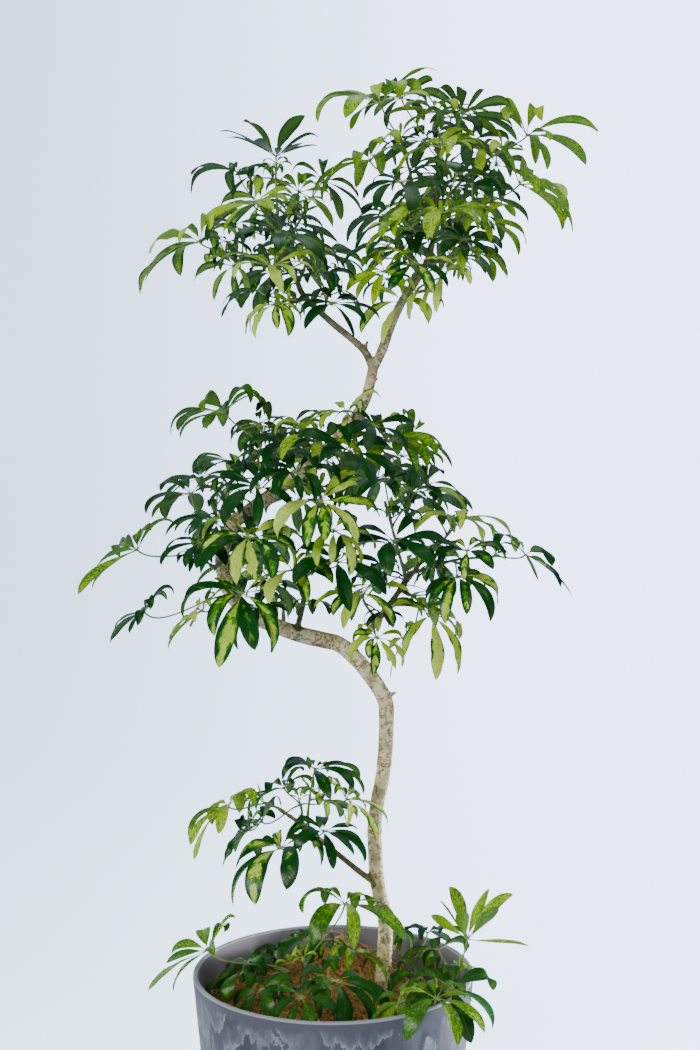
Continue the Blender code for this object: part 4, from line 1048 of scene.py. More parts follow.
# Tries for each leaf, each looser than the last, and the room it keeps from other pieces and its own blades
ATTEMPTS = 60
STRICT_ATTEMPTS = 30
FEWEST_BLADES = 3
HUB_STRAY = 0.018
CLEARANCE = 0.0005
OWN_CLEARANCE = 0.0003
TUBE_CORNERS = 8
CORE = -1
UP = Vector((0, 0, 1))


def scatter(draw, size):
    """A small random offset."""
    return Vector([draw.uniform(-size, size) for _ in range(3)])


def sprout_line(route):
    """A sprout's line, from the bottom of its hole in the soil."""
    top = photo_point(*route[0])
    foot = Vector((top.x, top.y, SOIL_TOP - HOLE_DEPTH + GAP))
    knots = [with_radius(Vector((top.x, top.y, MULCH_TOP + SPROUT_STRAIGHT)), STEM_RADIUS)]
    knots += [with_radius(photo_point(*place), STEM_TIP_RADIUS) for place in route[1:]]
    return [with_radius(foot, STEM_RADIUS), *smooth_line(knots, STEM_SPACING)]


def petiole_foot(line, hub):
    """Where a leaf's stalk leaves its stem: near the hub, and rather below it."""
    def cost(place):
        span = hub - place.xyz
        return span.length + STALK_FROM_BELOW * max(0.0, -span.z)

    places = [start.lerp(end, share / 4) for start, end in zip(line[1:], line[2:]) for share in range(4)]
    return min(places, key=cost).xyz


def stalk_curve(leaf, steps):
    """Points of a leaf's stalk, which leaves its stem outward and upward and comes in under the hub."""
    foot, hub, axis = leaf["foot"], leaf["hub"], leaf["axis"]
    span = hub - foot
    leave = foot + span.normalized().lerp(UP, STALK_LIFT) * span.length * STALK_SETS_OUT
    arrive = hub - axis * span.length * STALK_TURNS_IN
    points = []
    for step in range(steps + 1):
        t = step / steps
        s = 1 - t
        points.append(foot * s**3 + leave * 3 * s * s * t + arrive * 3 * s * t * t + hub * t**3)
    return points


def blade_curve(root, blade, steps, hook=0.0, sway=0.0):
    """A blade's middle line, which bends down under its weight, and may hook over at its tip and sway."""
    points = [root]
    for step in range(steps):
        share = (step + 0.5) / steps
        pull = blade["droop"] * (step + 0.5) / steps + hook * max(0.0, share - HOOK_STARTS) ** 1.5
        now = blade["heading"] * (1 - pull) - UP * pull + blade["side"] * sway * (share - SWAY_PIVOT)
        points.append(points[-1] + now.normalized() * blade["length"] / steps)
    return points


def spoke_at(axis, azimuth):
    """The way straight out from an axis, at a turn round it."""
    return Matrix.Rotation(azimuth, 3, axis) @ axis.orthogonal().normalized()


def new_blade(axis, azimuth, rise, twist, length, droop, width):
    """A blade of a leaf: how it sets out from the leaf's axis and lies, its length, droop and width."""
    radial = spoke_at(axis, azimuth)
    heading = radial * math.cos(rise) + axis * math.sin(rise)
    side = Matrix.Rotation(twist, 3, heading) @ heading.cross(axis)
    return {
        "azimuth": azimuth, "radial": radial, "heading": heading, "side": side.normalized(),
        "length": length, "droop": droop, "width": width,
    }


def plan_leaf(line, place, draw, stray):
    """One umbrella leaf: its stalk's foot, its hub and axis, and its blades."""
    *where, usual_length, count = place[:5]
    hub = photo_point(*where) + scatter(draw, HUB_STRAY * stray)
    foot = petiole_foot(line, hub)
    span = (hub - foot).normalized()
    outward = Vector((span.x, span.y, 0.001)).normalized()
    wander = scatter(draw, AXIS_STRAY + LATER_AXIS_STRAY * stray)
    axis = (UP * FACES_UP + span * FACES_STALK + outward * FACES_OUT + wander).normalized()
    turn = draw.uniform(0, math.tau)
    usual_droop, lift = (*place[5:], *USUAL_BEND[len(place) - 5:])
    blades = []
    for number in range(count):
        azimuth = turn + math.tau * (number + draw.uniform(-UNEVEN_TURN, UNEVEN_TURN)) / count
        rise = draw.uniform(*BLADE_RISES) + lift + UPRIGHT_RISE * max(0, UPRIGHT_DROOP - usual_droop)
        twist = draw.uniform(-BLADE_TWIST, BLADE_TWIST)
        spread = draw.uniform(-LENGTH_SPREAD, LENGTH_SPREAD)
        longer = LONGER_OUTSIDE * spoke_at(axis, azimuth).dot(outward)
        length = usual_length / 1000 * (1 + longer + spread)
        droop = usual_droop + draw.uniform(-DROOP_SPREAD, DROOP_SPREAD)
        width = length * draw.uniform(*BLADE_WIDTHS)
        blades.append(new_blade(axis, azimuth, rise, twist, length, droop, width))
    return {"foot": foot, "hub": hub, "axis": axis, "blades": blades}


def leaf_shell(leaf, swell):
    """The leaf's corner points, and the faces of its core and of each blade, swollen by a clearance."""
    hub, axis, blades = leaf["hub"], leaf["axis"], leaf["blades"]
    count = len(blades)
    azimuths = [blade["azimuth"] for blade in blades]
    halfway = [
        (azimuths[i - 1] - (math.tau if i == 0 else 0) + azimuths[i]) / 2 for i in range(count)
    ]
    radius = HUB_RADIUS + swell
    points = [hub + spoke_at(axis, angle) * radius for angle in halfway]
    points += [hub + blade["radial"] * radius * UNDERSIDE_TAPER - axis * HUB_HEIGHT for blade in blades]
    core = [tuple(range(count))]
    core += [((i + 1) % count, count + (i + 1) % count, count + i) for i in range(count)]

    frame = [blades[i * count // 3]["radial"] for i in range(3)]
    reach = (hub - leaf["foot"]).length
    parts = 1 + (reach > PETIOLE_SHORT) + (reach > PETIOLE_LONG)
    stalk = [hub - axis * HUB_NECK, *reversed(stalk_curve(leaf, parts)[:-1])]
    ways = [axis, *((a - b).normalized() for a, b in zip(stalk, stalk[1:]))]
    rings = []
    for number, (point, way) in enumerate(zip(stalk, ways)):
        turn = ways[max(0, number - 1)].rotation_difference(way)
        frame = [turn @ spoke for spoke in frame]
        thick = PETIOLE_RADIUS + (PETIOLE_FOOT_RADIUS - PETIOLE_RADIUS) * number / len(stalk) + swell
        rings.append([len(points) + k for k in range(3)])
        points += [point + (spoke - way * spoke.dot(way)).normalized() * thick for spoke in frame]
    for i in range(count):
        low, high = i * 3 // count, (i + 1) * 3 // count
        core.append((count + i, count + (i + 1) % count, rings[0][low % 3]))
        if high != low:
            core.append((count + (i + 1) % count, rings[0][high % 3], rings[0][low % 3]))
    for upper, lower in zip(rings, rings[1:]):
        core += [(upper[k], upper[(k + 1) % 3], lower[(k + 1) % 3]) for k in range(3)]
        core += [(upper[k], lower[(k + 1) % 3], lower[k]) for k in range(3)]
    core.append(tuple(reversed(rings[-1])))

    faces = []
    for i, blade in enumerate(blades):
        line = blade_curve(hub + blade["radial"] * radius, blade, BLADE_STEPS)
        way = (line[BLADE_WIDEST_STEP + 1] - line[BLADE_WIDEST_STEP - 1]).normalized()
        side = (blade["side"] - way * blade["side"].dot(way)).normalized()
        below = way.cross(side)
        root = (i, (i + 1) % count, count + i)
        left, right, keel, end = range(len(points), len(points) + 4)
        half = blade["width"] * KITE_SWELL / 2 + swell
        if side.dot(points[root[0]] - points[root[1]]) < 0:
            side = -side
        middle = line[BLADE_WIDEST_STEP]
        points += [
            middle + side * half - below * swell,
            middle - side * half - below * swell,
            middle + below * (BLADE_KEEL + swell),
            line[-1],
        ]
        faces.append([
            (root[0], root[1], right), (root[0], right, left), (root[1], root[2], right),
            (root[2], keel, right), (root[2], root[0], left), (root[2], left, keel),
            (left, right, end), (right, keel, end), (keel, left, end),
        ])
    return points, core, faces


def shape_of(points, faces, owner, is_blade=False):
    """A search tree and a box round some faces, with the name of the piece that owns them."""
    used = [points[i] for face in faces for i in face]
    low = [min(point[i] for point in used) for i in range(3)]
    high = [max(point[i] for point in used) for i in range(3)]
    tree = BVHTree.FromPolygons(points, faces)
    return {"tree": tree, "box": (low, high), "owner": owner, "is_blade": is_blade}


def leaf_shapes(leaf, swell, owner):
    """The search shapes of a leaf's core and of each of its blades, swollen by a clearance."""
    points, core, faces = leaf_shell(leaf, swell)
    return [shape_of(points, core, owner), *(shape_of(points, blade, owner, True) for blade in faces)]


def tube_shape(line, owner):
    """The search shape of a limb: a closed tube that encloses its corners."""
    widened = [place.w / math.cos(math.pi / TUBE_CORNERS) for place in line]
    rings = tube_rings([place.xyz for place in line], widened, TUBE_CORNERS)
    faces = []
    for low in range(0, (len(rings) - 1) * TUBE_CORNERS, TUBE_CORNERS):
        high = low + TUBE_CORNERS
        for k in range(TUBE_CORNERS):
            turn = (k + 1) % TUBE_CORNERS
            faces += [(low + k, low + turn, high + turn), (low + k, high + turn, high + k)]
    points = [point for ring in rings for point in ring]
    faces += [tuple(range(TUBE_CORNERS)), tuple(range(len(points) - TUBE_CORNERS, len(points)))]
    return shape_of(points, faces, owner)


def lathe_shape(profile, steps, owner, lift=None):
    """The search shape of a turned surface; each of its faces is split both ways."""
    points, faces = [], []
    for radius, height in profile:
        for k in range(steps):
            x, y = radius * math.cos(math.tau * k / steps), radius * math.sin(math.tau * k / steps)
            points.append(Vector((x, y, lift(x, y) if lift else height)))
    for low in range(0, (len(profile) - 1) * steps, steps):
        high = low + steps
        for k in range(steps):
            a, b, c, d = low + k, low + (k + 1) % steps, high + (k + 1) % steps, high + k
            faces += [(a, b, c), (a, c, d), (b, c, d), (b, d, a)]
    return shape_of(points, faces, owner)


def boxes_meet(one, other):
    """Whether two boxes, each with its low and high corner, share any room."""
    return all(one[0][i] <= other[1][i] and other[0][i] <= one[1][i] for i in range(3))


def crosses(shape, settled, loose):
    """Whether a shape crosses another; a stalk may meet its stem, and a loose leaf its stem's others."""
    return any(
        (other["owner"] != shape["owner"] or not loose and (other["is_blade"] or shape["is_blade"]))
        and boxes_meet(shape["box"], other["box"])
        and shape["tree"].overlap(other["tree"])
        for other in settled
    )


def crossing_parts(leaf, name, settled, loose):
    """The numbers of the leaf's blades that cross anything, with CORE for its hub and stalk."""
    shapes = leaf_shapes(leaf, CLEARANCE, name)
    found = {part for part, shape in enumerate(shapes, CORE) if crosses(shape, settled, loose)}
    points, core, faces = leaf_shell(leaf, OWN_CLEARANCE)
    every = core + [face for blade in faces for face in blade]
    part = [CORE] * len(core) + [i for i, blade in enumerate(faces) for _ in blade]
    tree = BVHTree.FromPolygons(points, every)
    for one, other in tree.overlap(tree):
        if one < other and not set(every[one]) & set(every[other]) and not {part[one], part[other]} & found:
            found.add(max(part[one], part[other]))
    return found


def grow_leaf(name, number, place, settled):
    """Tries a leaf in several ways and keeps the fullest one that crosses nothing."""
    draw = random.Random(f"{name} {number}")
    best = None
    for attempt in range(ATTEMPTS):
        loose = attempt >= STRICT_ATTEMPTS
        stray = (attempt % STRICT_ATTEMPTS) / STRICT_ATTEMPTS
        leaf = plan_leaf(stems[name], place, draw, stray)
        found = crossing_parts(leaf, name, settled, loose)
        if found:
            leaf = {**leaf, "blades": [blade for i, blade in enumerate(leaf["blades"]) if i not in found]}
            if CORE in found or len(leaf["blades"]) < FEWEST_BLADES:
                continue
            if crossing_parts(leaf, name, settled, loose):
                continue
        if best is None or len(leaf["blades"]) > len(best["blades"]):
            best = leaf
        if not found:
            break
    if best:
        settled += leaf_shapes(best, 0, name)
    return best


def grow_leaves(settled):
    """The leaves of each stem, the foremost first, every one kept clear of what stands already."""
    grown = {name: [] for name in stems}
    planned = sorted(
        (place[2], name, number, place, kinds[number])
        for name, (kinds, _, places) in (LEAFY_STEMS | SPROUTS).items()
        for number, place in enumerate(places)
    )
    for _, name, number, place, kind in planned:
        leaf = grow_leaf(name, number, place, settled)
        if leaf:
            grown[name].append({**leaf, "kind": kind})
    return grown


def plain_pot_profile():
    """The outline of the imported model's pot, from the floor inside it to its underside."""
    rim, foot, lip = POT_RIM_RADIUS, POT_FOOT_RADIUS, LIP_ROUNDING
    inner_rim = rim - POT_WALL
    inside = [(0, POT_FLOOR), (wall_radius(POT_FLOOR), POT_FLOOR), (inner_rim, POT_HEIGHT - lip)]
    over = [(inner_rim + lip, POT_HEIGHT), (rim - lip, POT_HEIGHT), (rim, POT_HEIGHT - lip)]
    return [*inside, *over, (foot, FOOT_ROUNDING), (foot - FOOT_ROUNDING, 0), (0, 0)]


# The leaflets added to a leaf: where in a gap they stand, how they rise, and their length and droop
EXTRA_COUNTS = (8, 8, 9, 9)
EXTRA_TURNS = (0.42, 0.58)
EXTRA_RISES = (0.10, 0.60)
EXTRA_LENGTHS = (0.70, 0.95)
EXTRA_DROOP = 0.1


def extra_blades(leaf, name, settled, draw):
    """Smaller leaflets in the widest gaps between a leaf's blades, where they cross nothing."""
    for _ in range(draw.choice(EXTRA_COUNTS) - len(leaf["blades"])):
        blades = leaf["blades"]
        azimuths = [blade["azimuth"] for blade in blades]
        ends = [*azimuths[1:], azimuths[0] + math.tau]
        gap, i = max((end - start, i) for i, (start, end) in enumerate(zip(azimuths, ends)))
        first, second = blades[i], blades[(i + 1) % len(blades)]
        azimuth = first["azimuth"] + gap * draw.uniform(*EXTRA_TURNS)
        rise = draw.uniform(*EXTRA_RISES)
        twist = draw.uniform(-BLADE_TWIST, BLADE_TWIST)
        length = (first["length"] + second["length"]) / 2 * draw.uniform(*EXTRA_LENGTHS)
        droop = (first["droop"] + second["droop"]) / 2 + draw.uniform(-EXTRA_DROOP, EXTRA_DROOP)
        width = length * draw.uniform(*BLADE_WIDTHS)
        extra = new_blade(leaf["axis"], azimuth, rise, twist, length, droop, width)
        tried = {**leaf, "blades": [*blades[:i + 1], extra, *blades[i + 1:]]}
        points, _, faces = leaf_shell(tried, 0)
        shape = shape_of(points, faces[i + 1], name, True)
        if not crosses(shape, settled, True):
            leaf = tried
            settled.append(shape)
    return leaf


# The half-grown leaves beside a shoot: how many in each tier, and how their stalks and leaflets are drawn
HALF_GROWN = {"left": 2, "right": 2, "middle": 1, "lower": 0, "sprout": 0}
HALF_GROWN_KINDS = "ddh"
HALF_GROWN_TRIES = 14
HALF_GROWN_LIFTS = (-0.2, 0.8)
HALF_GROWN_REACH = (0.018, 0.045)
HALF_GROWN_BLADES = 6
HALF_GROWN_LENGTH = (0.026, 0.044)
HALF_GROWN_SPREAD = (0.8, 1.15)
HALF_GROWN_RISES = (-0.15, 0.50)
HALF_GROWN_DROOPS = (0.45, 1.0)


def half_grown_leaf(line, name, settled, draw):
    """A smaller leaf on a short stalk beside a shoot, or None where it would cross another piece."""
    for _ in range(HALF_GROWN_TRIES):
        foot = draw.choice(line[2:]).xyz
        way = draw.uniform(0, math.tau)
        out = Vector((math.cos(way), math.sin(way), draw.uniform(*HALF_GROWN_LIFTS))).normalized()
        hub = foot + out * draw.uniform(*HALF_GROWN_REACH)
        axis = (UP * FACES_UP + out * FACES_STALK + scatter(draw, LATER_AXIS_STRAY)).normalized()
        turn = draw.uniform(0, math.tau)
        size = draw.uniform(*HALF_GROWN_LENGTH)
        blades = []
        for number in range(HALF_GROWN_BLADES):
            azimuth = turn + math.tau * number / HALF_GROWN_BLADES
            rise = draw.uniform(*HALF_GROWN_RISES)
            length = size * draw.uniform(*HALF_GROWN_SPREAD)
            droop = draw.uniform(*HALF_GROWN_DROOPS)
            width = size * draw.uniform(*BLADE_WIDTHS)
            blades.append(new_blade(axis, azimuth, rise, 0.0, length, droop, width))
        leaf = {"foot": foot, "hub": hub, "axis": axis, "blades": blades}
        shapes = leaf_shapes(leaf, CLEARANCE, name)
        if not any(crosses(shape, settled, False) for shape in shapes):
            settled += shapes
            return leaf
    return None


# A fine leaflet: its rows, the lanes of points across it, its thickness and its rib
LEAFLET_ROWS = 20
LANES = (-1.0, -0.52, 0.0, 0.52, 1.0)
LEAF_THICKNESS = 0.00042
RIB_DEPTH = 0.0005
LITTLE_STALK_RADIUS = 0.00080
LITTLE_STALK_DROP = 0.0002
LITTLE_STALK_TAPER = (1.15, 0.75)
LITTLE_STALK_TINT = 0.75
# Its outline: how it widens and narrows, its least width, and the width that a blunt tip keeps
SHAPE_RISE, SHAPE_FALL = 1.12, 0.76
LEAST_WIDTH = 0.035
BLUNT_FROM, BLUNT_WIDTH = 0.8, 0.34
# How much wider than planned the leaflets of each tier are, and how much narrower the weak pale ones
FULLER = {"left": 0.95, "right": 0.95, "middle": 1.06, "lower": 1.12, "sprout": 1.14}
WEAK_NARROWER = 0.20
WEAK_PALENESS = 0.6
# How far it hooks over at its tip, sways sideways, twists, folds up and cups
HOOKS = (0.1, 1.1)
SWAYS = (-0.5, 0.5)
TWISTS = (-0.5, 0.5)
FOLDS = (0.15, 0.78)
CUPS = (0.05, 0.45)
STALK_SHARES = (0.07, 0.14)
# Its margin: the chance of a blunt tip, and how ragged and how ruffled, each with what a weak leaflet adds
BLUNT_CHANCE, WEAK_BLUNT_CHANCE = 0.06, 0.30
RAGGED, WEAK_RAGGED = 0.02, 0.16
RUFFLE, WEAK_RUFFLE = 0.03, 0.07
RUFFLE_BEATS = (1.6, 3.2)
RUFFLE_SHIFT = 1.9
TIP_BITE, TIP_SLANT = 0.10, 0.06
GREEN_STALK_SLOT = 1
# The kinds of leaf: how pale its leaflets are, how much that varies, and how far they are mottled all over.
# In their order: dark, with a pale heart, pale, green mottled, pale mottled, and dark with faint mottling
LEAF_KINDS = {
    "d": (0.08, 0.14, 0.0), "h": (0.48, 0.30, 0.0), "p": (0.76, 0.30, 0.0),
    "g": (0.40, 0.20, 1.0), "m": (0.78, 0.22, 1.0), "f": (0.16, 0.12, 0.34),
}
# A leaf's stalk and the knob at its end: distances along the axis, and radii
STALK_STEP = 0.006
STALK_RADIUS = 0.00105
STALK_TINTS = (0.25, 0.75)
# How much a stalk swells at its foot and at its hub, and how quickly that fades
FOOT_SWELL, FOOT_FADES = 0.9, 9
HUB_SWELL, HUB_FADES = 0.45, 16
KNOB_PLACES = (-0.0016, -0.0004, 0.0008, 0.0014)
KNOB_RADII = (0.0014, 0.0019, 0.0016, 0.0007)
KNOB_REACH = 0.0008
KNOB_LOOK = (0.7, 0.5, 0.0, 1.0)
# A shoot: the spacing of its places, how deep it is sunk, the swelling of its joints, and its bud
SHOOT_SPACING = 0.004
SHOOT_SUNK = 0.003
JOINT_SWELL, JOINT_BEAT, JOINT_STRAY = 0.18, 1.15, 0.3
BUD_PLACES = (0.004, 0.009)
BUD_NARROWER, BUD_TIP_RADIUS = 0.75, 0.0004
SHOOT_TINTS = (0.05, 0.40)
BUD_LOOKS = [(0.8, 0.3, 0.0, 1.0), (0.9, 0.3, 0.0, 1.0)]
# The leaf that unfolds at a shoot's tip
YOUNG_COUNT = 5
YOUNG_TURN = 0.3
YOUNG_UPRIGHT = 0.35
YOUNG_RAISED = 0.006
YOUNG_LENGTHS = (0.012, 0.032)
YOUNG_RISES = (0.55, 1.25)
YOUNG_DROOPS = (0.1, 0.6)
YOUNG_PALENESS = (0.5, 0.9)


def unit(vectors):
    """Vectors brought to a length of one."""
    return vectors / np.linalg.norm(vectors, axis=-1, keepdims=True)


def leaflet_form(span, blunt):
    """A leaflet's width at shares of its length: slim at its foot, and pointed or blunt at its tip."""
    peak = SHAPE_RISE / (SHAPE_RISE + SHAPE_FALL)
    form = span**SHAPE_RISE * (1 - span) ** SHAPE_FALL / (peak**SHAPE_RISE * (1 - peak) ** SHAPE_FALL)
    if blunt:
        form = np.maximum(form, np.where(span > BLUNT_FROM, BLUNT_WIDTH, 0.0))
    return np.maximum(form, LEAST_WIDTH)


def add_leaflet(shell, root, blade, paleness, mottled, fuller, draw):
    """One leaflet: a little round stalk and a thin arched blade with a channelled rib and a waved margin."""
    rows = LEAFLET_ROWS if blade["length"] > YOUNG_LENGTHS[1] else LEAFLET_ROWS // 2
    hook, sway = draw.uniform(*HOOKS), draw.uniform(*SWAYS)
    line = np.array([tuple(point) for point in blade_curve(root, blade, rows, hook, sway)])
    stalk_share, seed, twist = draw.uniform(*STALK_SHARES), draw.random(), draw.uniform(*TWISTS)
    shares = np.linspace(0, 1, rows + 1)
    ways = unit(np.gradient(line, axis=0))
    flat = np.array(blade["side"])
    sides = unit(flat - ways * (ways @ flat)[:, None])
    ups = np.cross(sides, ways)
    turn = (twist * shares**1.5)[:, None]
    sides, ups = sides * np.cos(turn) + ups * np.sin(turn), ups * np.cos(turn) - sides * np.sin(turn)

    weak = paleness > WEAK_PALENESS and not mottled
    blunt = draw.random() < (WEAK_BLUNT_CHANCE if weak else BLUNT_CHANCE)
    ragged = draw.uniform(0.0, RAGGED) + (draw.uniform(0.0, WEAK_RAGGED) if weak else 0.0)
    ruffle = draw.uniform(0.0, RUFFLE) + (draw.uniform(0.0, WEAK_RUFFLE) if weak else 0.0)
    phase, beats = draw.uniform(0, math.tau), draw.uniform(*RUFFLE_BEATS)
    fold, cup = draw.uniform(*FOLDS), draw.uniform(*CUPS)
    start = int(round(stalk_share * rows))
    span = np.clip((shares - stalk_share) / (1 - stalk_share), 0.0, 1.0)
    half = blade["width"] / 2 * fuller * (1 - WEAK_NARROWER * weak) * leaflet_form(span, blunt)

    top, bottom, top_places, bottom_places = [], [], [], []
    for i in range(start, rows + 1):
        for lane in LANES:
            reach = abs(lane)
            rough = 1 + ragged * math.sin(phase * 3 + span[i] * 17 * (1 + 0.2 * lane) + lane * 2.1) * reach
            across = lane * half[i] * rough * math.cos(fold)
            lift = half[i] * (math.sin(fold) * reach - cup * reach**2)
            wave = math.sin(phase + math.tau * beats * span[i] + (RUFFLE_SHIFT if lane > 0 else 0.0))
            lift += blade["width"] * ruffle * reach**2 * wave * math.sin(math.pi * span[i]) ** 0.5
            forward = 0.0
            if blunt and i == rows:
                forward = blade["width"] * (TIP_BITE * math.sin(phase + 9 * lane) - TIP_SLANT * reach)
            point = line[i] + sides[i] * across + ups[i] * lift + ways[i] * forward
            thick = LEAF_THICKNESS * (1 - reach**2)
            place = (float(span[i]), 0.5 + 0.5 * lane)
            top.append(point + ups[i] * thick / 2)
            top_places.append(place)
            if reach < 1:
                rib = RIB_DEPTH * (1 - span[i]) if lane == 0 else 0.0
                bottom.append(point - ups[i] * (thick / 2 + rib))
                bottom_places.append(place)
    lanes = len(LANES)
    first = shell.add_points(top, (paleness, seed, 0.0, mottled), top_places)
    below = shell.add_points(bottom, (paleness, seed, 1.0, mottled), bottom_places)

    def low(row, lane):
        if lane in (0, lanes - 1):
            return first + row * lanes + lane
        return below + row * (lanes - 2) + lane - 1

    count = rows + 1 - start
    faces = []
    for row in range(count - 1):
        for lane in range(lanes - 1):
            a = first + row * lanes + lane
            faces.append((a, a + lanes, a + lanes + 1, a + 1))
            faces.append((low(row, lane), low(row, lane + 1), low(row + 1, lane + 1), low(row + 1, lane)))
    for row, swap in ((0, False), (count - 1, True)):
        a = first + row * lanes
        ring = [a + lane for lane in range(lanes)] + [low(row, lane) for lane in range(lanes - 2, 0, -1)]
        faces.append(tuple(reversed(ring)) if swap else tuple(ring))
    shell.add_faces(faces)
    stalk_end = min(start + 1, rows)
    points = [Vector(line[k]) - Vector(ups[k]) * LITTLE_STALK_DROP for k in range(stalk_end + 1)]
    thickest, thinner = LITTLE_STALK_TAPER
    radii = [LITTLE_STALK_RADIUS * (thickest - thinner * k / stalk_end) for k in range(stalk_end + 1)]
    add_tube(shell, points, radii, 6, (LITTLE_STALK_TINT, seed, 0.0, 1.0), GREEN_STALK_SLOT)


def add_leaf(shell, leaf, kind, fuller, draw):
    """An umbrella leaf: its stalk, swollen at both ends, and its leaflets round the upper end."""
    usual, spread, mottled = LEAF_KINDS[kind]
    steps = max(8, round((leaf["hub"] - leaf["foot"]).length / STALK_STEP))
    radii, looks = [], []
    tint = draw.uniform(*STALK_TINTS)
    for step in range(steps + 1):
        share = step / steps
        swollen = FOOT_SWELL * math.exp(-share * FOOT_FADES) + HUB_SWELL * math.exp(-(1 - share) * HUB_FADES)
        radii.append(STALK_RADIUS * (1 + swollen))
        looks.append((tint * (0.5 + 0.5 * share), draw.random() * 0.1, 0.0, 1.0))
    add_tube(shell, stalk_curve(leaf, steps), radii, 8, looks, GREEN_STALK_SLOT)
    knob = [leaf["hub"] + leaf["axis"] * rise for rise in KNOB_PLACES]
    add_tube(shell, knob, KNOB_RADII, 8, KNOB_LOOK, GREEN_STALK_SLOT)
    for blade in leaf["blades"]:
        paleness = min(1.0, max(0.0, usual + draw.uniform(-spread, spread)))
        root = leaf["hub"] + blade["radial"] * KNOB_REACH
        add_leaflet(shell, root, blade, paleness, mottled, fuller, draw)


def add_stem(shell, line, rooted):
    """A green shoot with slight joints, browner at its foot, that ends in a small bud."""
    fine = smooth_line(line, SHOOT_SPACING)
    draw = random.Random(len(fine))
    back = (fine[0].xyz - fine[1].xyz).normalized() * (0.0 if rooted else SHOOT_SUNK)
    points = [fine[0].xyz + back] + [place.xyz for place in fine]
    radii, looks = [], []
    for number, place in enumerate([fine[0], *fine]):
        share = number / len(fine)
        beat = number * JOINT_BEAT + draw.uniform(-JOINT_STRAY, JOINT_STRAY)
        joint = JOINT_SWELL * max(0.0, math.sin(beat)) ** 6
        radii.append(place.w * (1 + joint))
        looks.append((SHOOT_TINTS[0] + (SHOOT_TINTS[1] - SHOOT_TINTS[0]) * share, 0.3, 0.0, 1.0))
    tip_way = (points[-1] - points[-2]).normalized()
    points += [points[-1] + tip_way * reach for reach in BUD_PLACES]
    radii += [radii[-1] * BUD_NARROWER, BUD_TIP_RADIUS]
    add_tube(shell, points, radii, 10, looks + BUD_LOOKS, GREEN_STALK_SLOT)


def add_young_leaf(shell, line, draw):
    """The leaf that is just unfolding at a shoot's end: a bunch of small upright leaflets."""
    tip, back = line[-1].xyz, line[-3].xyz
    axis = (tip - back).normalized().lerp(UP, YOUNG_UPRIGHT).normalized()
    for number in range(YOUNG_COUNT):
        azimuth = math.tau * (number + draw.uniform(-YOUNG_TURN, YOUNG_TURN)) / YOUNG_COUNT
        rise, length, droop = (draw.uniform(*span) for span in (YOUNG_RISES, YOUNG_LENGTHS, YOUNG_DROOPS))
        width = length * draw.uniform(*BLADE_WIDTHS)
        blade = new_blade(axis, azimuth, rise, 0.0, length, droop, width)
        root = tip + axis * YOUNG_RAISED
        add_leaflet(shell, root, blade, draw.uniform(*YOUNG_PALENESS), 1.0, 1.0, draw)


DARK_GREENS = (paint(1, 46, 5), paint(8, 78, 13))
MIDDLE_GREENS = (paint(38, 110, 0), paint(68, 138, 4))
PALE_GREENS = (paint(160, 198, 26), paint(200, 220, 92))
MOTTLE_GROUNDS = (paint(86, 144, 0), paint(172, 206, 20))
MOTTLE_GREENS = (paint(14, 78, 2), paint(62, 122, 0))
RIB_GREEN = paint(124, 166, 44)
BACK_GREEN = paint(112, 156, 62)


def leaf_pattern(tree, along, across, seed, scales):
    """A place for a leaflet's patterns, stretched along it and across it and moved on by its seed."""
    parts = [times(tree, value, scale) for value, scale in zip((along, across, seed), scales)]
    return add(tree, "CombineXYZ", dict(enumerate(parts))).outputs[0]


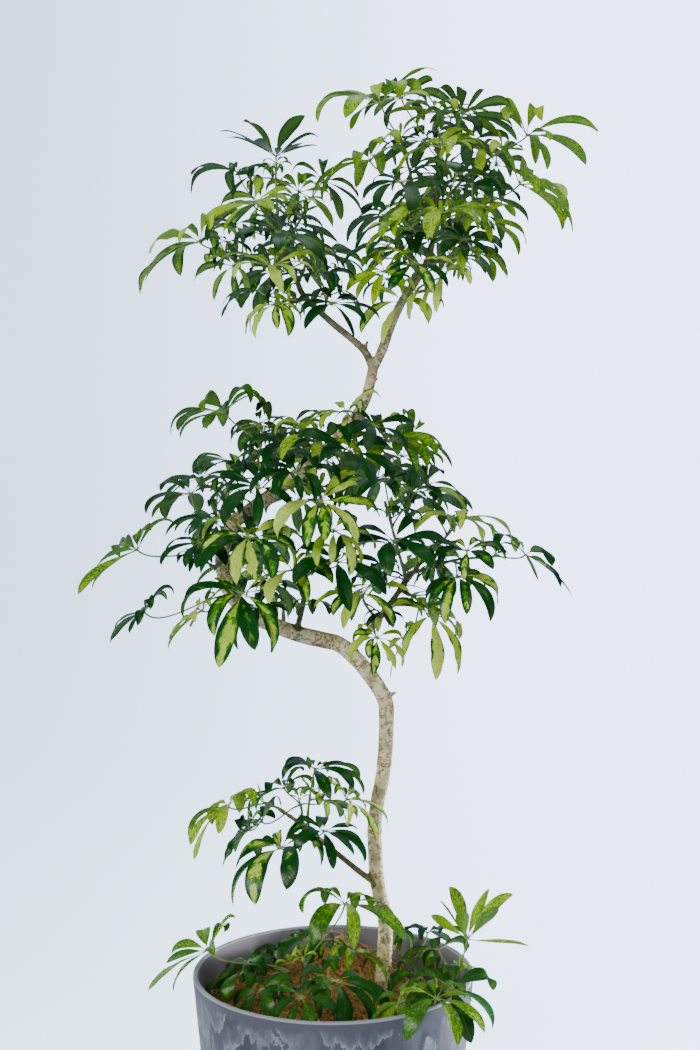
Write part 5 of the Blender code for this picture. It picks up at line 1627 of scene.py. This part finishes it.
def make_variegated():
    """Leaf skin: dark glossy green, with a pale heart jagged along the veins or pale mottling all over."""
    made, tree, shader = new_material("variegated_leaf")
    flat_place = add(tree, "UVMap", {}, uv_map="place").outputs[0]
    along, across, _ = add(tree, "SeparateXYZ", {0: flat_place}).outputs
    paleness, seed, under, mottled = carried_look(tree)
    edge = sum_up(tree, "ABSOLUTE", times(tree, across, 2.0, -1.0))
    margin = times(tree, edge, edge)
    vein_way = times(tree, edge, -0.16, along)
    streaks = leaf_pattern(tree, vein_way, across, seed, (6.0, 1.6, 90.0))
    jagged = noise_at(tree, streaks, 1.0, 5.0, 0.62)
    broad = noise_at(tree, streaks, 0.4, 1.0, 0.5)
    freckled = noise_at(tree, leaf_pattern(tree, vein_way, across, seed, (34.0, 9.0, 31.0)), 1.0, 3.0, 0.65)

    value = times(tree, margin, -0.62, times(tree, paleness, 1.35, -0.08))
    value = times(tree, sum_up(tree, "SUBTRACT", jagged, 0.5), 1.7, value)
    heart = step_mask(tree, value, 0.48, 0.53)
    halo = step_mask(tree, value, 0.30, 0.37)
    dark = blend_colours(tree, broad, *DARK_GREENS)
    middle = blend_colours(tree, broad, *MIDDLE_GREENS)
    light = blend_colours(tree, seed, *PALE_GREENS)
    few = times(tree, step_mask(tree, freckled, 0.53, 0.63), 0.62)
    light = blend_colours(tree, few, light, MOTTLE_GREENS[1])
    hearted = blend_colours(tree, heart, blend_colours(tree, halo, dark, middle), light)

    cover = times(tree, margin, -0.06, times(tree, paleness, 0.16, 0.40))
    cover = times(tree, sum_up(tree, "SUBTRACT", broad, 0.5), 0.25, cover)
    spots = step_mask(tree, sum_up(tree, "SUBTRACT", freckled, cover), -0.02, 0.05)
    ground = blend_colours(tree, paleness, *MOTTLE_GROUNDS)
    spotted = blend_colours(tree, spots, ground, blend_colours(tree, paleness, *MOTTLE_GREENS))

    colour = blend_colours(tree, mottled, hearted, spotted)
    rib = times(tree, step_mask(tree, edge, 0.08, 0.02), times(tree, mottled, 0.22, 0.07))
    colour = blend_colours(tree, rib, colour, RIB_GREEN)
    colour = blend_colours(tree, under, colour, blend_colours(tree, 0.45, colour, BACK_GREEN))
    rough = times(tree, under, 0.22, times(tree, paleness, 0.14, 0.29))
    shader.inputs["Specular IOR Level"].default_value = 0.28
    ripples = sum_up(tree, "SINE", times(tree, vein_way, 95.0))
    coat(tree, shader, colour, rough, times(tree, ripples, 0.22, broad), 0.42, 0.0005)
    return made


def make_green_stalk():
    """Stalk skin: olive green, paler towards the leaflets and browner on old shoots, with fine pores."""
    made, tree, shader = new_material("green_stalk")
    place = own_place(tree)
    pores = use_effect(tree, speckle, {"Vector": place, "Scale": 800.0})
    patches = patches_at(tree, place, 130.0, 0.3, 0.45, 0.1)
    colour = blend_colours(tree, carried_look(tree)[0], paint(70, 84, 38), paint(150, 176, 92))
    colour = blend_colours(tree, times(tree, patches, 0.22), colour, paint(96, 86, 46))
    colour = blend_colours(tree, times(tree, pores["Mask"], 0.25), colour, paint(160, 150, 100))
    coat(tree, shader, colour, 0.5, pores["Height"], 0.3, 0.0003)
    return made


stems = {name: line for name, (_, line) in seats.items()}
stems.update({name: sprout_line(route) for name, (_, route, _) in SPROUTS.items()})
bed_profile = [(MULCH_RADIUS * ring / MULCH_RINGS, MULCH_TOP) for ring in range(MULCH_RINGS + 1)]
settled = [
    lathe_shape(plain_pot_profile(), POT_SIDES, "pot"),
    lathe_shape(bed_profile, MULCH_SECTORS, "coir_mulch", mulch_height),
]
settled += [tube_shape(line, "trunk") for line in (*lines.values(), *collars, *snags)]
settled += [tube_shape(line, name) for name, line in stems.items()]
grown = grow_leaves(settled)
leaf_skins = [make_variegated(), make_green_stalk()]
for name, leaves in grown.items():
    draw = random.Random(f"fine {name}")
    tier = name.split("_")[0]
    shoot = Shell()
    add_stem(shoot, stems[name], name in SPROUTS)
    add_young_leaf(shoot, stems[name], draw)
    for leaf in leaves:
        full = extra_blades(leaf, name, settled, draw)
        add_leaf(shoot, full, leaf["kind"], FULLER[tier], draw)
    for _ in range(HALF_GROWN[tier]):
        leaf = half_grown_leaf(stems[name], name, settled, draw)
        if leaf:
            add_leaf(shoot, leaf, draw.choice(HALF_GROWN_KINDS), FULLER[tier], draw)
    spray = shoot.finish(f"{name}_leaves", leaf_skins)
    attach(spray, "root")
    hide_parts(name)


# The studio: a pale floor that curves up into a pale wall, soft lamps, and the camera of the photograph.

FLOOR_HALF_WIDTH = 9.0
FLOOR_FRONT = -5.0
WALL_PLACE = 4.6
WALL_CURVE = 1.6
WALL_TOP = 8.0
CURVE_STEPS = 16
PAPER_SEEN, PAPER_LIGHT = 2.75, 0.35
PAPER_SLOPE = 2.4
# Painted light: from where to where, left to right, the paper's colour and glow brighten
PAPER_ENDS = (-1.7, 1.0)
AIR_SEEN, AIR_LIGHT, AIR_OVERHEAD = 4.0, 0.07, 0.30
FRAME_HEIGHT_PIXELS = 1050
SENSOR_HEIGHT = 36


def make_backdrop():
    """The floor and wall of pale paper, which glow a little towards the camera, with painted light that
    brightens them from left to right.
    """
    outline = [(FLOOR_FRONT, 0.0)]
    outline += [
        (WALL_PLACE - WALL_CURVE + WALL_CURVE * math.sin(a), WALL_CURVE * (1 - math.cos(a)))
        for a in (math.pi / 2 * step / CURVE_STEPS for step in range(CURVE_STEPS + 1))
    ]
    outline.append((WALL_PLACE, WALL_TOP))
    points = [(x, y, z) for y, z in outline for x in (-FLOOR_HALF_WIDTH, FLOOR_HALF_WIDTH)]
    faces = [(2 * i, 2 * i + 1, 2 * i + 3, 2 * i + 2) for i in range(len(outline) - 1)]
    mesh = bpy.data.meshes.new("studio_floor")
    mesh.from_pydata(points, [], faces)
    mesh.shade_smooth()
    made, tree, shader = new_material("studio_paper")
    shader.inputs["Roughness"].default_value = 0.9
    across = add(tree, "SeparateXYZ", {0: own_place(tree)}).outputs["X"]
    # Painted light: the paper's colour and glow brighten from left to right
    painted_light_ramp = step_mask(tree, across, *PAPER_ENDS)
    colour = blend_colours(tree, painted_light_ramp, paint(192, 212, 232), paint(200, 219, 250))
    tree.links.new(colour, shader.inputs["Base Color"])
    tree.links.new(colour, shader.inputs["Emission Color"])
    seen = add(tree, "LightPath", {}).outputs["Is Camera Ray"]
    brighter = times(tree, painted_light_ramp, PAPER_SLOPE, PAPER_SEEN - PAPER_LIGHT)
    glow = times(tree, seen, brighter, PAPER_LIGHT)
    tree.links.new(glow, shader.inputs["Emission Strength"])
    mesh.materials.append(made)
    thing = bpy.data.objects.new("studio_floor", mesh)
    bpy.context.scene.collection.objects.link(thing)
    return thing


def add_lamp(name, place, target, size, power, colour, beam=180):
    """A square soft lamp that points at a target. A lamp with a narrow beam, in degrees, gives no shine."""
    lamp = bpy.data.lights.new(name, "AREA")
    lamp.shape = "SQUARE"
    lamp.size = size
    lamp.energy = power
    lamp.color = colour
    lamp.spread = math.radians(beam)
    thing = bpy.data.objects.new(name, lamp)
    thing.location = place
    thing.rotation_euler = (Vector(target) - Vector(place)).to_track_quat("-Z", "Y").to_euler()
    thing.visible_glossy = beam == 180
    bpy.context.scene.collection.objects.link(thing)


make_backdrop()
add_lamp("lamp_left", (-1.9, -3.0, 2.1), (0, 0, 0.8), 1.4, 114, (1.0, 0.98, 0.95))
add_lamp("lamp_right", (2.2, -2.6, 1.2), (0, 0, 0.7), 1.6, 20, (0.93, 0.97, 1.0))
add_lamp("lamp_low_right", (1.6, 0.6, 0.36), (0, 0, 0.2), 0.6, 7.5, (0.97, 0.97, 1.0), 30)
add_lamp("lamp_low_left", (-1.5, 0.9, 0.36), (0, 0, 0.2), 0.6, 2.4, (0.97, 0.98, 1.0), 30)
add_lamp("lamp_above", (0.2, 0.2, 3.3), (0, 0, 0.9), 1.4, 20, (0.95, 0.98, 1.0))

# The air round the studio: bright where the camera sees it, and dim as a light, which keeps the shade deep
world = bpy.data.worlds.new("studio_air")
world.use_nodes = True
air = world.node_tree
seen, lit = air.nodes["Background"], air.nodes.new("ShaderNodeBackground")
for background, strength in ((seen, AIR_SEEN), (lit, AIR_LIGHT)):
    background.inputs["Color"].default_value = paint(226, 234, 243)
    background.inputs["Strength"].default_value = strength
path, mixed = air.nodes.new("ShaderNodeLightPath"), air.nodes.new("ShaderNodeMixShader")
ahead = add(air, "SeparateXYZ", {0: add(air, "TexCoord", {}).outputs["Generated"]}).outputs["Z"]
overhead = times(air, step_mask(air, ahead, 0.2, 1.0), AIR_OVERHEAD, AIR_LIGHT)
air.links.new(overhead, lit.inputs["Strength"])
air.links.new(path.outputs["Is Camera Ray"], mixed.inputs["Fac"])
air.links.new(lit.outputs[0], mixed.inputs[1])
air.links.new(seen.outputs[0], mixed.inputs[2])
air.links.new(mixed.outputs[0], air.nodes["World Output"].inputs["Surface"])
bpy.context.scene.world = world

camera = bpy.data.objects.new("photo_camera", bpy.data.cameras.new("photo_camera"))
camera.data.sensor_fit = "VERTICAL"
camera.data.sensor_height = SENSOR_HEIGHT
camera.data.lens = VIEW_FOCAL_PIXELS / FRAME_HEIGHT_PIXELS * SENSOR_HEIGHT
camera.location = (VIEW_SIDE, -VIEW_DISTANCE, VIEW_HEIGHT)
camera.rotation_euler = (math.pi / 2, 0, 0)
bpy.context.scene.collection.objects.link(camera)
bpy.context.scene.camera = camera
